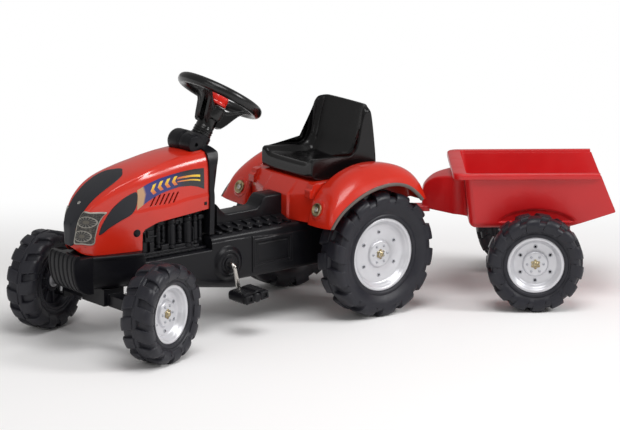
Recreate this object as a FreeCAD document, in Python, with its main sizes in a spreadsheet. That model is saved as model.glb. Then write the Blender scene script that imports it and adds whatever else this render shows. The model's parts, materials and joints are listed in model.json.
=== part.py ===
import FreeCAD, Part
import math
import os
import Sketcher

# A child's ride-on pedal tractor with a two-wheeled tipping-style trailer hitched behind it.
# Frame: millimetres, +X towards the tractor's front, +Y to its left, +Z up.
# The origin is on the ground under the middle of the rear axle.
# The rest pose has the front wheels steered to the left and the trailer swung out to the left.

doc = FreeCAD.newDocument("RideOnTractor")
sheet = doc.addObject("Spreadsheet::Sheet", "Sizes")

sizes = {
    # general fits
    "wall": 4.0,
    "overrun": 20.0,
    "running_clearance": 0.05,
    "seat_gap": 0.3,
    "tyre_fit": 0.1,
    # wheel base and tracks
    "wheelbase": 600.0,
    "front_track": 380.0,
    "rear_track": 316.0,
    "scrub": 40.0,
    "steer_rest": 20.25,
    "steer_limit": 28.0,
    "steer_ratio": 1.2857,
    # front wheels, also used on the trailer
    "front_tyre_radius": 104.0,
    "front_tyre_width": 70.0,
    "front_rim_radius": 61.5,
    "front_lip_out": 26.0,
    "front_dish_out": 9.0,
    "front_dish_radius": 47.0,
    "front_boss_radius": 27.0,
    "front_boss_out": 16.0,
    "front_lug_height": 8.0,
    # rear wheels
    "rear_tyre_radius": 135.0,
    "rear_tyre_width": 74.0,
    "rear_rim_radius": 79.0,
    "rear_lip_out": 26.0,
    "rear_dish_out": 11.0,
    "rear_dish_radius": 65.0,
    "rear_boss_radius": 29.0,
    "rear_boss_out": 17.0,
    "rear_lug_height": 9.0,
    # wheel details
    "rim_wall": 4.0,
    "rim_lip": 5.0,
    "rim_back": 27.0,
    "hub_radius": 15.0,
    "hub_back": 20.0,
    "rim_hole_radius": 2.6,
    "rim_hole_count": 6.0,
    "lug_count": 14.0,
    "lug_width": 24.0,
    "lug_slant": 9.0,
    "lug_root": 4.0,
    "rib_half": 5.0,
    "wheel_axle_radius": 6.0,
    "cap_radius": 10.0,
    "cap_depth": 4.0,
    "cap_top": 2.0,
    "cap_crown_radius": 7.0,
    # frame
    "frame_half": 75.0,
    "frame_tail": 60.0,
    "frame_front": 655.0,
    "frame_nose_half": 45.0,
    "frame_floor": 103.0,
    "floor_end": 400.0,
    "keel_front": 470.0,
    "front_floor": 128.0,
    "deck_top": 208.0,
    "ledge_top": 182.0,
    "ledge_front": 543.0,
    "bonnet_base": 203.0,
    "firewall_x": 372.0,
    "block_front": 110.0,
    "tunnel_half": 24.0,
    "tunnel_top": 238.0,
    "tunnel_step": 262.0,
    "tunnel_step_front": 213.0,
    "tunnel_step_back": 194.0,
    "tunnel_foot": 300.0,
    "tunnel_rise": 322.0,
    "boss_radius": 27.0,
    "boss_depth": 9.0,
    "stud_count": 7.0,
    "stud_length": 15.0,
    "stud_width": 8.0,
    "stud_height": 2.5,
    "stud_row_gap": 6.0,
    "panel_front": 263.0,
    "panel_back": 156.0,
    "panel_low": 134.0,
    "panel_high": 192.0,
    "panel_rib": 3.0,
    # saddle with the two mudguards
    "saddle_front": 150.0,
    "saddle_tail": 95.0,
    "saddle_top": 293.0,
    "saddle_shoulder": 262.0,
    "saddle_crest": 120.0,
    "saddle_rear_crest": 70.0,
    "guard_inner": 108.0,
    "guard_crown": 150.0,
    "guard_bend": 180.0,
    "guard_edge": 192.0,
    "guard_reach": 146.0,
    "guard_base": 200.0,
    "guard_height": 129.0,
    "trim_depth": 6.0,
    "trim_width": 4.0,
    "guard_bolt_y": 136.0,
    "guard_bolt_z": 245.0,
    "guard_bolt_radius": 10.0,
    "guard_bolt_head": 6.0,
    "guard_bolt_shank": 3.0,
    # seat
    "seat_half": 88.0,
    "seat_front": 118.0,
    "seat_back": 58.0,
    "seat_height": 145.0,
    # bonnet
    "bonnet_length": 320.0,
    "bonnet_half": 62.0,
    "bonnet_height": 188.0,
    "bonnet_wall": 3.0,
    "cutout_low_front": 540.0,
    "cutout_front_top": 247.0,
    "cutout_bend": 505.0,
    "cutout_bend_top": 258.0,
    "cutout_rear_top": 269.0,
    "inlay": 1.2,
    "louvre_count": 5.0,
    "louvre_first": 508.0,
    "louvre_pitch": 11.5,
    "louvre_lean": 12.0,
    "louvre_low": 294.0,
    "louvre_high": 316.0,
    "louvre_width": 4.0,
    "plug_x": 554.0,
    "plug_z": 242.0,
    "plug_radius": 6.0,
    "plug_head": 2.0,
    "screw_x": 381.0,
    "screw_z": 281.0,
    "screw_radius": 3.0,
    # engine relief
    "engine_face": 46.0,
    "engine_back": 40.0,
    "engine_rear": 376.0,
    "engine_front": 537.0,
    "engine_top": 260.0,
    "cylinder_radius": 14.0,
    # dash
    "dash_half": 58.0,
    "dash_top": 384.0,
    "dash_depth": 29.0,
    "dash_foot_depth": 13.0,
    "cowl_half": 37.0,
    "cowl_base": 393.5,
    "cowl_front": 408.0,
    "cowl_top": 426.0,
    # steering column: a point where it leaves the dash, and its lean from the vertical
    "column_x": 348.0,
    "column_z": 407.0,
    "column_lean": 33.0,
    "column_down": 344.0,
    "shaft_radius": 6.0,
    "collar_radius": 23.0,
    "collar_height": 5.0,
    "sleeve_radius": 19.0,
    "sleeve_start": 6.0,
    "hub_start": 45.0,
    "hub_block_radius": 25.0,
    "hub_top": 73.0,
    "wheel_rise": 98.0,
    "wheel_radius": 86.0,
    "grip_radius": 10.5,
    "spoke_width": 18.0,
    "spoke_thick": 8.0,
    "horn_radius": 22.0,
    "horn_height": 26.0,
    "horn_travel_gap": 3.5,
    "horn_stem_radius": 4.0,
    "steer_arm": 30.5,
    "steer_arm_radius": 5.0,
    "link_pin_radius": 3.0,
    "link_pin_drop": 14.0,
    "steer_pin_drop": 20.0,
    # front axle
    "beam_half_depth": 15.0,
    "beam_half_height": 12.0,
    "beam_half_length": 122.0,
    "pedestal_half_x": 25.0,
    "pedestal_half_y": 40.0,
    "yoke_half_height": 26.0,
    "yoke_plate": 6.0,
    "yoke_outer": 12.0,
    "yoke_web": 4.0,
    "kingpin_radius": 5.0,
    "kingpin_head": 4.0,
    "kingpin_head_radius": 8.0,
    "sleeve_gap": 0.3,
    "knuckle_radius": 10.0,
    "shoulder_radius": 8.5,
    "arm_back": 50.0,
    "arm_in": 14.0,
    "arm_half": 5.0,
    "arm_top": 97.0,
    "arm_thick": 5.0,
    "tie_top": 90.5,
    "tie_thick": 3.5,
    "tie_bar_half": 7.0,
    "tie_eye_front": 21.0,
    "tie_eye_back": 10.0,
    "tie_eye_half": 9.0,
    "tie_slot_play": 2.2,
    "tie_slot_front": 16.0,
    "tie_slot_back": 6.0,
    "tongue_half": 11.0,
    "tongue_end": 498.0,
    "tongue_slot_rear": 505.0,
    "tongue_slot_front": 521.5,
    "tongue_slot_play": 1.3,
    # bumper weight
    "bumper_length": 50.0,
    "bumper_half": 46.0,
    "bumper_low": 125.0,
    "bumper_top": 211.0,
    "bumper_rib_count": 6.0,
    "bumper_groove": 5.0,
    "bumper_groove_depth": 5.0,
    # pedals and drive
    "crank_x": 332.0,
    "crank_z": 147.0,
    "crank_throw": 61.0,
    "crank_rest": 12.4,
    "crank_rod_radius": 5.0,
    "crank_arm_y": 93.0,
    "pedal_inner": 101.0,
    "pedal_length": 56.0,
    "pedal_half_width": 31.0,
    "pedal_half_thick": 9.0,
    "pedal_notch": 20.0,
    "pedal_notch_depth": 16.0,
    "bush_wall": 4.0,
    "bush_flange": 5.0,
    "bush_flange_thick": 2.0,
    "chainwheel_radius": 36.0,
    "sprocket_radius": 24.0,
    "sprocket_thick": 5.0,
    "chain_y": 40.0,
    "chain_width": 8.0,
    "chain_thick": 3.0,
    "chain_gap": 0.4,
    "rear_axle_radius": 7.0,
    # hitch
    "hitch_behind": 117.0,
    "hitch_plate": 7.0,
    "hitch_half": 22.0,
    "hitch_pin_radius": 6.0,
    "hitch_pin_head": 5.0,
    "hitch_pin_head_radius": 11.0,
    "drawbar_low": 181.0,
    "drawbar_thick": 12.0,
    "drawbar_eye": 18.0,
    # trailer, measured from the hitch pin
    "trailer_rest": -36.43,
    "trailer_track": 340.0,
    "trailer_axle_behind": 343.5,
    "tub_front_top": 194.0,
    "tub_front_low": 206.0,
    "tub_keel_end": 440.0,
    "tub_tail": 522.0,
    "tub_rear_top": 486.0,
    "tub_floor": 172.0,
    "tub_tail_low": 199.0,
    "tub_top": 288.0,
    "tub_half_top": 118.0,
    "tub_half_low": 106.0,
    "tub_wall": 4.0,
    "flange": 7.0,
    "flange_depth": 13.0,
    "nose_half": 60.0,
    "nose_front": 108.0,
    "nose_front_half": 44.0,
    "nose_low": 180.0,
    "nose_rear_low": 174.0,
    "nose_top": 273.0,
    "carrier_half_x": 20.0,
    "carrier_half_y": 90.0,
    "carrier_low": 90.0,
}
row = 0
for alias, number in sizes.items():
    row += 1
    sheet.set("A%d" % row, alias)
    sheet.set("B%d" % row, repr(number))
    sheet.setAlias("B%d" % row, alias)
doc.recompute()


class Size:
    # A length with its sheet formula, so that sums of sizes stay bound to the sheet.
    def __init__(self, text, number):
        self.text = text
        self.number = number

    def mixed(self, sign, other, number):
        other_text = other.text if isinstance(other, Size) else repr(float(other))
        return Size("(%s %s %s)" % (self.text, sign, other_text), number)

    def __add__(self, other):
        return self.mixed("+", other, self.number + amount(other))

    def __sub__(self, other):
        return self.mixed("-", other, self.number - amount(other))

    def __mul__(self, other):
        return self.mixed("*", other, self.number * amount(other))

    def __truediv__(self, other):
        return self.mixed("/", other, self.number / amount(other))

    def __neg__(self):
        return Size("(0 - %s)" % self.text, -self.number)


def amount(value):
    return value.number if isinstance(value, Size) else float(value)


class Sheet:
    pass


S = Sheet()
for alias in sizes:
    setattr(S, alias, Size("Sizes.%s" % alias, float(sheet.get(alias))))
zero = Size("0", 0.0)
V = FreeCAD.Vector
nodes = []


def bind(obj, prop, size):
    obj.setExpression(prop, size.text)


def moved(obj, base, rotation=None):
    # Puts an object at a bound point, turned by a fixed rotation.
    placement = FreeCAD.Placement(V(0, 0, 0), rotation or FreeCAD.Rotation())
    placement.Base = V(*[amount(c) for c in base])
    obj.Placement = placement
    for axis, c in zip("xyz", base):
        if isinstance(c, Size) and c is not zero:
            bind(obj, "Placement.Base.%s" % axis, c)
    return obj


along = {
    "X": FreeCAD.Rotation(V(0, 1, 0), 90),
    "Y": FreeCAD.Rotation(V(1, 0, 0), -90),
    "Z": FreeCAD.Rotation(),
}


def cylinder(name, radius, length, base, axis="Y"):
    obj = doc.addObject("Part::Cylinder", name)
    bind(obj, "Radius", radius)
    bind(obj, "Height", length)
    return moved(obj, base, along[axis])


def block(name, base, length, width, height):
    obj = doc.addObject("Part::Box", name)
    bind(obj, "Length", length)
    bind(obj, "Width", width)
    bind(obj, "Height", height)
    return moved(obj, base)


def ball(name, radius, base):
    obj = doc.addObject("Part::Sphere", name)
    bind(obj, "Radius", radius)
    return moved(obj, base)


def fused(name, shapes):
    obj = doc.addObject("Part::MultiFuse", name)
    obj.Shapes = shapes
    return obj


def removed(name, base, tools):
    obj = doc.addObject("Part::Cut", name)
    obj.Base = base
    obj.Tool = tools[0] if len(tools) == 1 else fused(name + "_tools", tools)
    return obj


def shared(name, base, tool):
    obj = doc.addObject("Part::Common", name)
    obj.Base = base
    obj.Tool = tool
    return obj


def group(name, members):
    obj = doc.addObject("Part::Compound", name)
    obj.Links = members
    return obj


def mirrored(name, source):
    obj = doc.addObject("Part::Mirroring", name)
    obj.Source = source
    obj.Base = V(0, 0, 0)
    obj.Normal = V(0, 1, 0)
    return obj


def formed(name, shape):
    obj = doc.addObject("Part::Feature", name)
    obj.Shape = shape
    return obj


def node(obj, label):
    obj.Label = label
    nodes.append(obj)
    return obj


def plane(body, role):
    return [f for f in body.Origin.OriginFeatures if f.Role == role][0]


def outline(body, role, points, name, offset=None, turn=None):
    # A closed outline of straight lines, each corner bound to the sheet in both directions.
    sketch = body.newObject("Sketcher::SketchObject", name)
    sketch.AttachmentSupport = [(plane(body, role), "")]
    sketch.MapMode = "FlatFace"
    if turn is not None:
        sketch.AttachmentOffset = FreeCAD.Placement(
            V(0, 0, 0), FreeCAD.Rotation(V(0, 0, 1), turn.number)
        )
        bind(sketch, "AttachmentOffset.Rotation.Angle", turn)
    if offset is not None:
        bind(sketch, "AttachmentOffset.Base.z", offset)
    count = len(points)
    spots = [V(amount(x), amount(y), 0) for x, y in points]
    sketch.addGeometry(
        [Part.LineSegment(spots[i], spots[(i + 1) % count]) for i in range(count)], False
    )
    rules = [Sketcher.Constraint("Coincident", i, 2, (i + 1) % count, 1) for i in range(count)]
    ties = []
    for i, (x, y) in enumerate(points):
        for kind, size in (("DistanceX", x), ("DistanceY", y)):
            ties.append((len(rules), size))
            rules.append(Sketcher.Constraint(kind, -1, 1, i, 1, amount(size)))
    sketch.addConstraint(rules)
    for index, size in ties:
        if isinstance(size, Size) and size is not zero:
            bind(sketch, "Constraints[%d]" % index, size)
    return sketch


def padded(body, sketch, length, name, towards_plus_y=True, both_ways=False):
    pad = body.newObject("PartDesign::Pad", name)
    pad.Profile = sketch
    bind(pad, "Length", length)
    if both_ways:
        pad.Midplane = True
    else:
        pad.Reversed = towards_plus_y
    return pad


def side_solid(name, points, low_y, depth):
    # A side outline in X and Z, made solid from low_y over depth towards the left.
    body = doc.addObject("PartDesign::Body", name)
    offset = None if low_y is zero else -low_y
    sketch = outline(body, "XZ_Plane", points, name + "_outline", offset)
    padded(body, sketch, depth, name + "_pad")
    return body


def wide_solid(name, points, width):
    # A side outline in X and Z, made solid over a width that the middle plane halves.
    body = doc.addObject("PartDesign::Body", name)
    sketch = outline(body, "XZ_Plane", points, name + "_outline")
    padded(body, sketch, width, name + "_pad", both_ways=True)
    return body


def plan_solid(name, points, low_z, height):
    # A plan outline in X and Y, made solid from low_z upwards.
    body = doc.addObject("PartDesign::Body", name)
    sketch = outline(body, "XY_Plane", points, name + "_outline", low_z)
    padded(body, sketch, height, name + "_pad", towards_plus_y=False)
    return body


def turned_solid(name, points):
    # An outline of radius and axial place, revolved about the Y axis.
    body = doc.addObject("PartDesign::Body", name)
    sketch = outline(body, "XY_Plane", points, name + "_outline")
    turn = body.newObject("PartDesign::Revolution", name + "_turn")
    turn.Profile = sketch
    turn.ReferenceAxis = (sketch, ["V_Axis"])
    turn.Angle = 360
    return body


def pole_curve(points):
    curve = Part.BSplineCurve()
    curve.buildFromPoles(points, False, 3)
    return curve.toShape()


def num(name):
    return float(sheet.get(name))


# Wheels. The wheel's own frame has its axle along Y, its outer face towards +Y.

def rim_body(name, size, back_hub):
    bore = S.wheel_axle_radius if size == "front" else S.rear_axle_radius
    bore = bore + S.running_clearance
    radius = getattr(S, size + "_rim_radius")
    dish = getattr(S, size + "_dish_out")
    lip = getattr(S, size + "_lip_out")
    boss = getattr(S, size + "_boss_radius")
    boss_out = getattr(S, size + "_boss_out")
    dish_radius = getattr(S, size + "_dish_radius")
    body = turned_solid(name, [
        (bore, -back_hub),
        (S.hub_radius, -back_hub),
        (S.hub_radius, dish - S.rim_wall),
        (radius - S.rim_wall, dish - S.rim_wall),
        (radius - S.rim_wall, -S.rim_back),
        (radius, -S.rim_back),
        (radius, lip),
        (radius - S.rim_lip, lip),
        (dish_radius, dish),
        (boss, dish),
        (boss - S.inlay, boss_out),
        (bore, boss_out),
    ])
    hole_ring = (boss + dish_radius) / 2
    sketch = body.newObject("Sketcher::SketchObject", name + "_hole_outline")
    sketch.AttachmentSupport = [(plane(body, "XZ_Plane"), "")]
    sketch.MapMode = "FlatFace"
    sketch.addGeometry(Part.Circle(V(0, hole_ring.number, 0), V(0, 0, 1), num("rim_hole_radius")), False)
    sketch.addConstraint(Sketcher.Constraint("Radius", 0, num("rim_hole_radius")))
    sketch.addConstraint(Sketcher.Constraint("DistanceX", -1, 1, 0, 3, 0.0))
    sketch.addConstraint(Sketcher.Constraint("DistanceY", -1, 1, 0, 3, hole_ring.number))
    bind(sketch, "Constraints[0]", S.rim_hole_radius)
    bind(sketch, "Constraints[2]", hole_ring)
    hole = body.newObject("PartDesign::Pocket", name + "_hole")
    hole.Profile = sketch
    hole.Type = "ThroughAll"
    hole.Midplane = True
    ring = body.newObject("PartDesign::PolarPattern", name + "_holes")
    ring.Originals = [hole]
    ring.Axis = (plane(body, "Y_Axis"), [""])
    ring.Angle = 360
    bind(ring, "Occurrences", S.rim_hole_count)
    body.Tip = ring
    return body


def tyre_body(name, size):
    radius = getattr(S, size + "_tyre_radius")
    half = getattr(S, size + "_tyre_width") / 2
    bore = getattr(S, size + "_rim_radius") + S.tyre_fit
    height = getattr(S, size + "_lug_height")
    tread = radius - height
    bead = S.rim_back
    # shares of the sidewall's height and of the tyre's half width
    swell_share, shoulder_share, shoulder_in_share = 0.42, 0.8, 0.76
    swell = bore + (tread - bore) * swell_share
    shoulder = bore + (tread - bore) * shoulder_share
    shoulder_in = half * shoulder_in_share
    rib_top = tread + height * shoulder_share
    body = turned_solid(name, [
        (bore, -bead),
        (bore, bead),
        (swell, half),
        (shoulder, half),
        (tread, shoulder_in),
        (tread, S.rib_half),
        (rib_top, S.rib_half),
        (rib_top, -S.rib_half),
        (tread, -S.rib_half),
        (tread, -shoulder_in),
        (shoulder, -half),
        (swell, -half),
    ])
    wide = S.lug_width / 2
    root = tread - S.lug_root
    lower = shoulder - S.lug_root * 2
    for side, facing in (("outer", -1), ("inner", 1)):
        turn = Size("(180 / Sizes.lug_count)", 180.0 / num("lug_count")) if facing > 0 else None
        near = outline(body, "XZ_Plane", [
            (-wide, root),
            (wide, root),
            (wide, radius),
            (-wide, radius),
        ], "%s_%s_near" % (name, side), S.rib_half * facing * shoulder_share, turn)
        far = outline(body, "XZ_Plane", [
            (S.lug_slant - wide, lower),
            (S.lug_slant + wide, lower),
            (S.lug_slant + wide, radius - height),
            (S.lug_slant - wide, radius - height),
        ], "%s_%s_far" % (name, side), (half - S.inlay) * facing, turn)
        mid = outline(body, "XZ_Plane", [
            (S.lug_slant * shoulder_share - wide, root),
            (S.lug_slant * shoulder_share + wide, root),
            (S.lug_slant * shoulder_share + wide, radius - S.inlay * 2),
            (S.lug_slant * shoulder_share - wide, radius - S.inlay * 2),
        ], "%s_%s_mid" % (name, side), shoulder_in * facing, turn)
        lug = body.newObject("PartDesign::AdditiveLoft", "%s_%s_lug" % (name, side))
        lug.Profile = near
        lug.Sections = [mid, far]
        lug.Ruled = True
        ring = body.newObject("PartDesign::PolarPattern", "%s_%s_lugs" % (name, side))
        ring.Originals = [lug]
        ring.Axis = (plane(body, "Y_Axis"), [""])
        ring.Angle = 360
        bind(ring, "Occurrences", S.lug_count)
        body.Tip = ring
    return body


def cap_body(name, axle_radius, start):
    fit = axle_radius + S.running_clearance
    end = start + S.cap_depth
    return turned_solid(name, [
        (fit, start),
        (S.cap_radius, start),
        (S.cap_radius, end),
        (S.cap_crown_radius, end + S.cap_top),
        (zero, end + S.cap_top),
        (zero, end),
        (fit, end),
    ])


front_rim = rim_body("front_rim_master", "front", S.hub_back)
rear_rim = rim_body("rear_rim_master", "rear", S.rim_back)
front_tyre = tyre_body("front_tyre_master", "front")
rear_tyre = tyre_body("rear_tyre_master", "rear")
front_cap = cap_body("front_cap_master", S.wheel_axle_radius, S.front_boss_out + S.seat_gap)
rear_cap = cap_body("rear_cap_master", S.rear_axle_radius, S.rear_boss_out + S.seat_gap)
doc.recompute()

kingpin_y = S.front_track / 2 - S.scrub
trailer_turn = FreeCAD.Rotation(V(0, 0, 1), num("trailer_rest"))
steer_turn = FreeCAD.Rotation(V(0, 0, 1), num("steer_rest"))
half_turn = FreeCAD.Rotation(V(0, 0, 1), 180)


def trailer_place(x, y, z):
    # From the trailer's own frame, with its hitch pin at the origin, to the tractor's frame.
    spot = trailer_turn.multVec(V(x, y, z)) + V(-num("hitch_behind"), 0, 0)
    return FreeCAD.Placement(spot, trailer_turn)


def copied(label, master, placement):
    obj = formed(label + "_copy", master.Shape.copy())
    obj.Placement = placement
    return node(obj, label)


def steered(side):
    pin = V(num("wheelbase"), side * kingpin_y.number, num("front_tyre_radius"))
    return FreeCAD.Placement(pin, steer_turn)


wheel_spots = {}
for side, word in ((1, "left"), (-1, "right")):
    outward = FreeCAD.Rotation() if side > 0 else half_turn
    front_spot = steered(side).multiply(FreeCAD.Placement(V(0, side * num("scrub"), 0), outward))
    rear_spot = FreeCAD.Placement(V(0, side * num("rear_track") / 2, num("rear_tyre_radius")), outward)
    cart_spot = trailer_place(
        -num("trailer_axle_behind"), side * num("trailer_track") / 2, num("front_tyre_radius")
    ).multiply(FreeCAD.Placement(V(0, 0, 0), outward))
    wheel_spots[word] = (front_spot, rear_spot, cart_spot)
    for where, spot, tyre, rim in (
        ("front", front_spot, front_tyre, front_rim),
        ("rear", rear_spot, rear_tyre, rear_rim),
        ("trailer", cart_spot, front_tyre, front_rim),
    ):
        copied("tyre_%s_%s" % (where, word), tyre, spot)
        copied("rim_%s_%s" % (where, word), rim, spot)
    copied("cap_front_%s" % word, front_cap, front_spot)


def cap_pair(label, master, spots):
    shapes = []
    for spot in spots:
        shape = master.Shape.copy()
        shape.Placement = spot
        shapes.append(shape)
    return node(formed(label + "_pair", Part.makeCompound(shapes)), label)


cap_pair("rear_caps", rear_cap, [wheel_spots["left"][1], wheel_spots["right"][1]])
cap_pair("trailer_caps", front_cap, [wheel_spots["left"][2], wheel_spots["right"][2]])

# Frame: two moulded half shells that meet on the middle plane.

saddle_inside = S.saddle_top - S.wall
frame_body = doc.addObject("PartDesign::Body", "frame_shell")
frame_outline = outline(frame_body, "XZ_Plane", [
    (-S.frame_tail, S.frame_floor),
    (S.floor_end, S.frame_floor),
    (S.keel_front, S.front_floor),
    (S.frame_front, S.front_floor),
    (S.frame_front, S.bonnet_base),
    (S.ledge_front, S.bonnet_base),
    (S.ledge_front, S.ledge_top),
    (S.firewall_x, S.ledge_top),
    (S.firewall_x, S.deck_top),
    (S.block_front, S.deck_top),
    (S.block_front, saddle_inside),
    (-S.frame_tail, saddle_inside),
], "frame_outline")
padded(frame_body, frame_outline, S.frame_half, "frame_pad")
tunnel_outline = outline(frame_body, "XZ_Plane", [
    (S.saddle_front + S.seat_gap, S.deck_top - S.wall / 2),
    (S.tunnel_rise, S.deck_top - S.wall / 2),
    (S.tunnel_rise, S.tunnel_step),
    (S.tunnel_foot, S.tunnel_top),
    (S.tunnel_step_front, S.tunnel_top),
    (S.tunnel_step_back, S.tunnel_step),
    (S.saddle_front + S.seat_gap, S.tunnel_step),
], "tunnel_outline")
tunnel = padded(frame_body, tunnel_outline, S.tunnel_half, "tunnel_pad")


def nose_taper(body, half, front, name):
    # Draws the front of a frame solid in towards the bumper.
    sketch = outline(body, "XY_Plane", [
        (S.ledge_front, half),
        (front, half - (S.frame_half - S.frame_nose_half)),
        (front + S.overrun, half - (S.frame_half - S.frame_nose_half)),
        (front + S.overrun, half + S.overrun),
        (S.ledge_front, half + S.overrun),
    ], name + "_outline")
    taper = body.newObject("PartDesign::Pocket", name)
    taper.Profile = sketch
    taper.Type = "ThroughAll"
    taper.Midplane = True


nose_taper(frame_body, S.frame_half, S.frame_front, "frame_taper")
cavity_body = doc.addObject("PartDesign::Body", "frame_cavity")
cavity_outline = outline(cavity_body, "XZ_Plane", [
    (S.wall - S.frame_tail, S.frame_floor + S.wall),
    (S.floor_end, S.frame_floor + S.wall),
    (S.keel_front, S.front_floor + S.wall),
    (S.frame_front - S.wall, S.front_floor + S.wall),
    (S.frame_front - S.wall, S.bonnet_base - S.wall),
    (S.ledge_front + S.wall, S.bonnet_base - S.wall),
    (S.ledge_front + S.wall, S.ledge_top - S.wall),
    (S.firewall_x - S.wall, S.ledge_top - S.wall),
    (S.firewall_x - S.wall, S.deck_top - S.wall),
    (S.block_front - S.wall, S.deck_top - S.wall),
    (S.block_front - S.wall, saddle_inside - S.wall),
    (S.wall - S.frame_tail, saddle_inside - S.wall),
], "cavity_outline")
padded(cavity_body, cavity_outline, S.frame_half - S.wall, "cavity_pad")
nose_taper(cavity_body, S.frame_half - S.wall, S.frame_front, "cavity_taper")
doc.recompute()

frame_extras = [
    cylinder(
        "crank_boss",
        S.boss_radius,
        S.boss_depth + S.wall / 2,
        (S.crank_x, S.frame_half - S.wall / 2, S.crank_z),
    )
]
stud_run = S.tunnel_rise - S.saddle_front - S.tunnel_half
for stud_row in range(2):
    for i in range(int(num("stud_count"))):
        stud_share = (i + 0.5 * stud_row) / num("stud_count")
        frame_extras.append(block(
            "deck_stud",
            (
                S.saddle_front + S.stud_row_gap + stud_run * stud_share,
                S.tunnel_half + S.stud_row_gap + (S.stud_length + S.stud_row_gap) * stud_row,
                S.deck_top - S.stud_height,
            ),
            S.stud_width,
            S.stud_length,
            S.stud_height * 2,
        ))
frame_extras.append(removed("side_panel_frame", block(
    "panel_outer",
    (S.panel_back, S.frame_half - S.panel_rib, S.panel_low),
    S.panel_front - S.panel_back,
    S.panel_rib * 2,
    S.panel_high - S.panel_low,
), [block(
    "panel_inner",
    (S.panel_back + S.panel_rib, S.frame_half - S.panel_rib, S.panel_low + S.panel_rib),
    S.panel_front - S.panel_back - S.panel_rib * 2,
    S.panel_rib * 3,
    S.panel_high - S.panel_low - S.panel_rib * 2,
)]))
bush_radius = S.crank_rod_radius + S.bush_wall
axle_bush_radius = S.rear_axle_radius + S.bush_wall
lean = math.radians(num("column_lean"))
column_up = V(-math.sin(lean), 0, math.cos(lean))
column_foot = V(num("column_x"), 0, num("column_z"))
column_rotation = FreeCAD.Rotation(V(0, 1, 0), -num("column_lean"))


def on_column(name, radius, start, length):
    # A round bar on the steering column's axis, start counted upwards from the dash.
    obj = doc.addObject("Part::Cylinder", name)
    bind(obj, "Radius", radius)
    bind(obj, "Height", length)
    obj.Placement = FreeCAD.Placement(column_foot + column_up * start.number, column_rotation)
    return obj


frame_cuts = [
    cylinder(
        "crank_bore",
        bush_radius + S.running_clearance,
        S.overrun * 2,
        (S.crank_x, S.frame_half - S.overrun, S.crank_z),
    ),
    cylinder(
        "rear_axle_bore",
        axle_bush_radius + S.running_clearance,
        S.overrun * 2,
        (zero, S.frame_half - S.overrun, S.rear_tyre_radius),
    ),
    on_column("column_passage", S.shaft_radius + S.bush_wall, -S.column_down, S.column_down),
    cavity_body,
]
frame_left = node(
    removed("frame_half_left", fused("frame_with_bosses", [frame_body] + frame_extras), frame_cuts),
    "frame_left",
)
frame_right = node(mirrored("frame_half_right", frame_left), "frame_right")


def bush(name, radius, bore, base_y, x, z):
    # A flanged plain bush that fills the frame wall from the outside.
    seat = S.frame_half + (S.boss_depth if name == "crank" else zero)
    depth = seat - base_y
    outer = cylinder(name + "_bush_body", radius, depth, (x, base_y, z))
    rim = cylinder(name + "_bush_rim", radius + S.bush_flange, S.bush_flange_thick, (x, seat, z))
    hole = cylinder(
        name + "_bush_hole",
        bore + S.running_clearance,
        depth + S.overrun * 2,
        (x, base_y - S.overrun, z),
    )
    return removed(name + "_bush", fused(name + "_bush_solid", [outer, rim]), [hole])


wall_inside = S.frame_half - S.wall
crank_bush = bush("crank", bush_radius, S.crank_rod_radius, wall_inside, S.crank_x, S.crank_z)
axle_bush = bush("axle", axle_bush_radius, S.rear_axle_radius, wall_inside, zero, S.rear_tyre_radius)
node(group("crank_bush_pair", [crank_bush, mirrored("crank_bush_far", crank_bush)]), "crank_bushes")
node(group("axle_bush_pair", [axle_bush, mirrored("axle_bush_far", axle_bush)]), "axle_bushes")

# Bonnet: a thin shell through sections along its length, kept as shares of its length, width and height.

station_shares = [0.0, 0.2, 0.4, 0.59, 0.75, 0.875, 0.95, 1.0]
half_shares = [1.0, 1.0, 0.985, 0.93, 0.8, 0.62, 0.42, 0.21]
top_shares = [1.0, 0.973, 0.92, 0.851, 0.745, 0.617, 0.485, 0.37]
base_shares = [0.0, 0.0, 0.0, 0.0, 0.0, 0.0, 0.03, 0.1]
section_y_shares = [0.96, 1.01, 1.04, 0.98, 0.56]
section_z_shares = [0.0, 0.32, 0.72, 0.95, 1.01]


def between(shares, s):
    # A share at place s along the stations, on a smooth curve through the table.
    i = 0
    while i < len(station_shares) - 2 and s > station_shares[i + 1]:
        i += 1
    a, b = station_shares[i], station_shares[i + 1]

    def slope(k):
        low, high = max(k - 1, 0), min(k + 1, len(shares) - 1)
        return (shares[high] - shares[low]) / (station_shares[high] - station_shares[low])

    f = (s - a) / (b - a)
    rise = b - a
    return (
        shares[i] * (1 + 2 * f) * (1 - f) ** 2
        + shares[i + 1] * f * f * (3 - 2 * f)
        + rise * slope(i) * f * (1 - f) ** 2
        - rise * slope(i + 1) * f * f * (1 - f)
    )


fine_stations = sorted(set(station_shares + [
    (a + b) / 2 for a, b in zip(station_shares, station_shares[1:])
]))


def bonnet_solid(grow, past):
    # The bonnet's outer form, grown outwards by grow; past opens its rear end and underside.
    wires = []
    for s in fine_stations:
        half_share, top_share, base_share = [between(t, s) for t in (half_shares, top_shares, base_shares)]
        nose = max(0.0, (s - 0.5) / 0.5)
        x = num("firewall_x") + num("bonnet_length") * s + grow * nose
        if s == 0.0:
            x -= past
        w = num("bonnet_half") * half_share + grow
        low = num("bonnet_base") + num("bonnet_height") * max(0.0, base_share) - past
        top = num("bonnet_base") + num("bonnet_height") * top_share + grow
        left = [V(x, w * a, low + (top - low) * b) for a, b in zip(section_y_shares, section_z_shares)]
        poles = left + [V(p.x, -p.y, p.z) for p in reversed(left)]
        wires.append(Part.Wire([pole_curve(poles), Part.makeLine(poles[-1], poles[0])]))
    return Part.makeLoft(wires, True, True)


def xz_prism(points, y0, y1):
    corners = [V(x, y0, z) for x, z in points]
    face = Part.Face(Part.makePolygon(corners + corners[:1]))
    return face.extrude(V(0, y1 - y0, 0))


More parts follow.
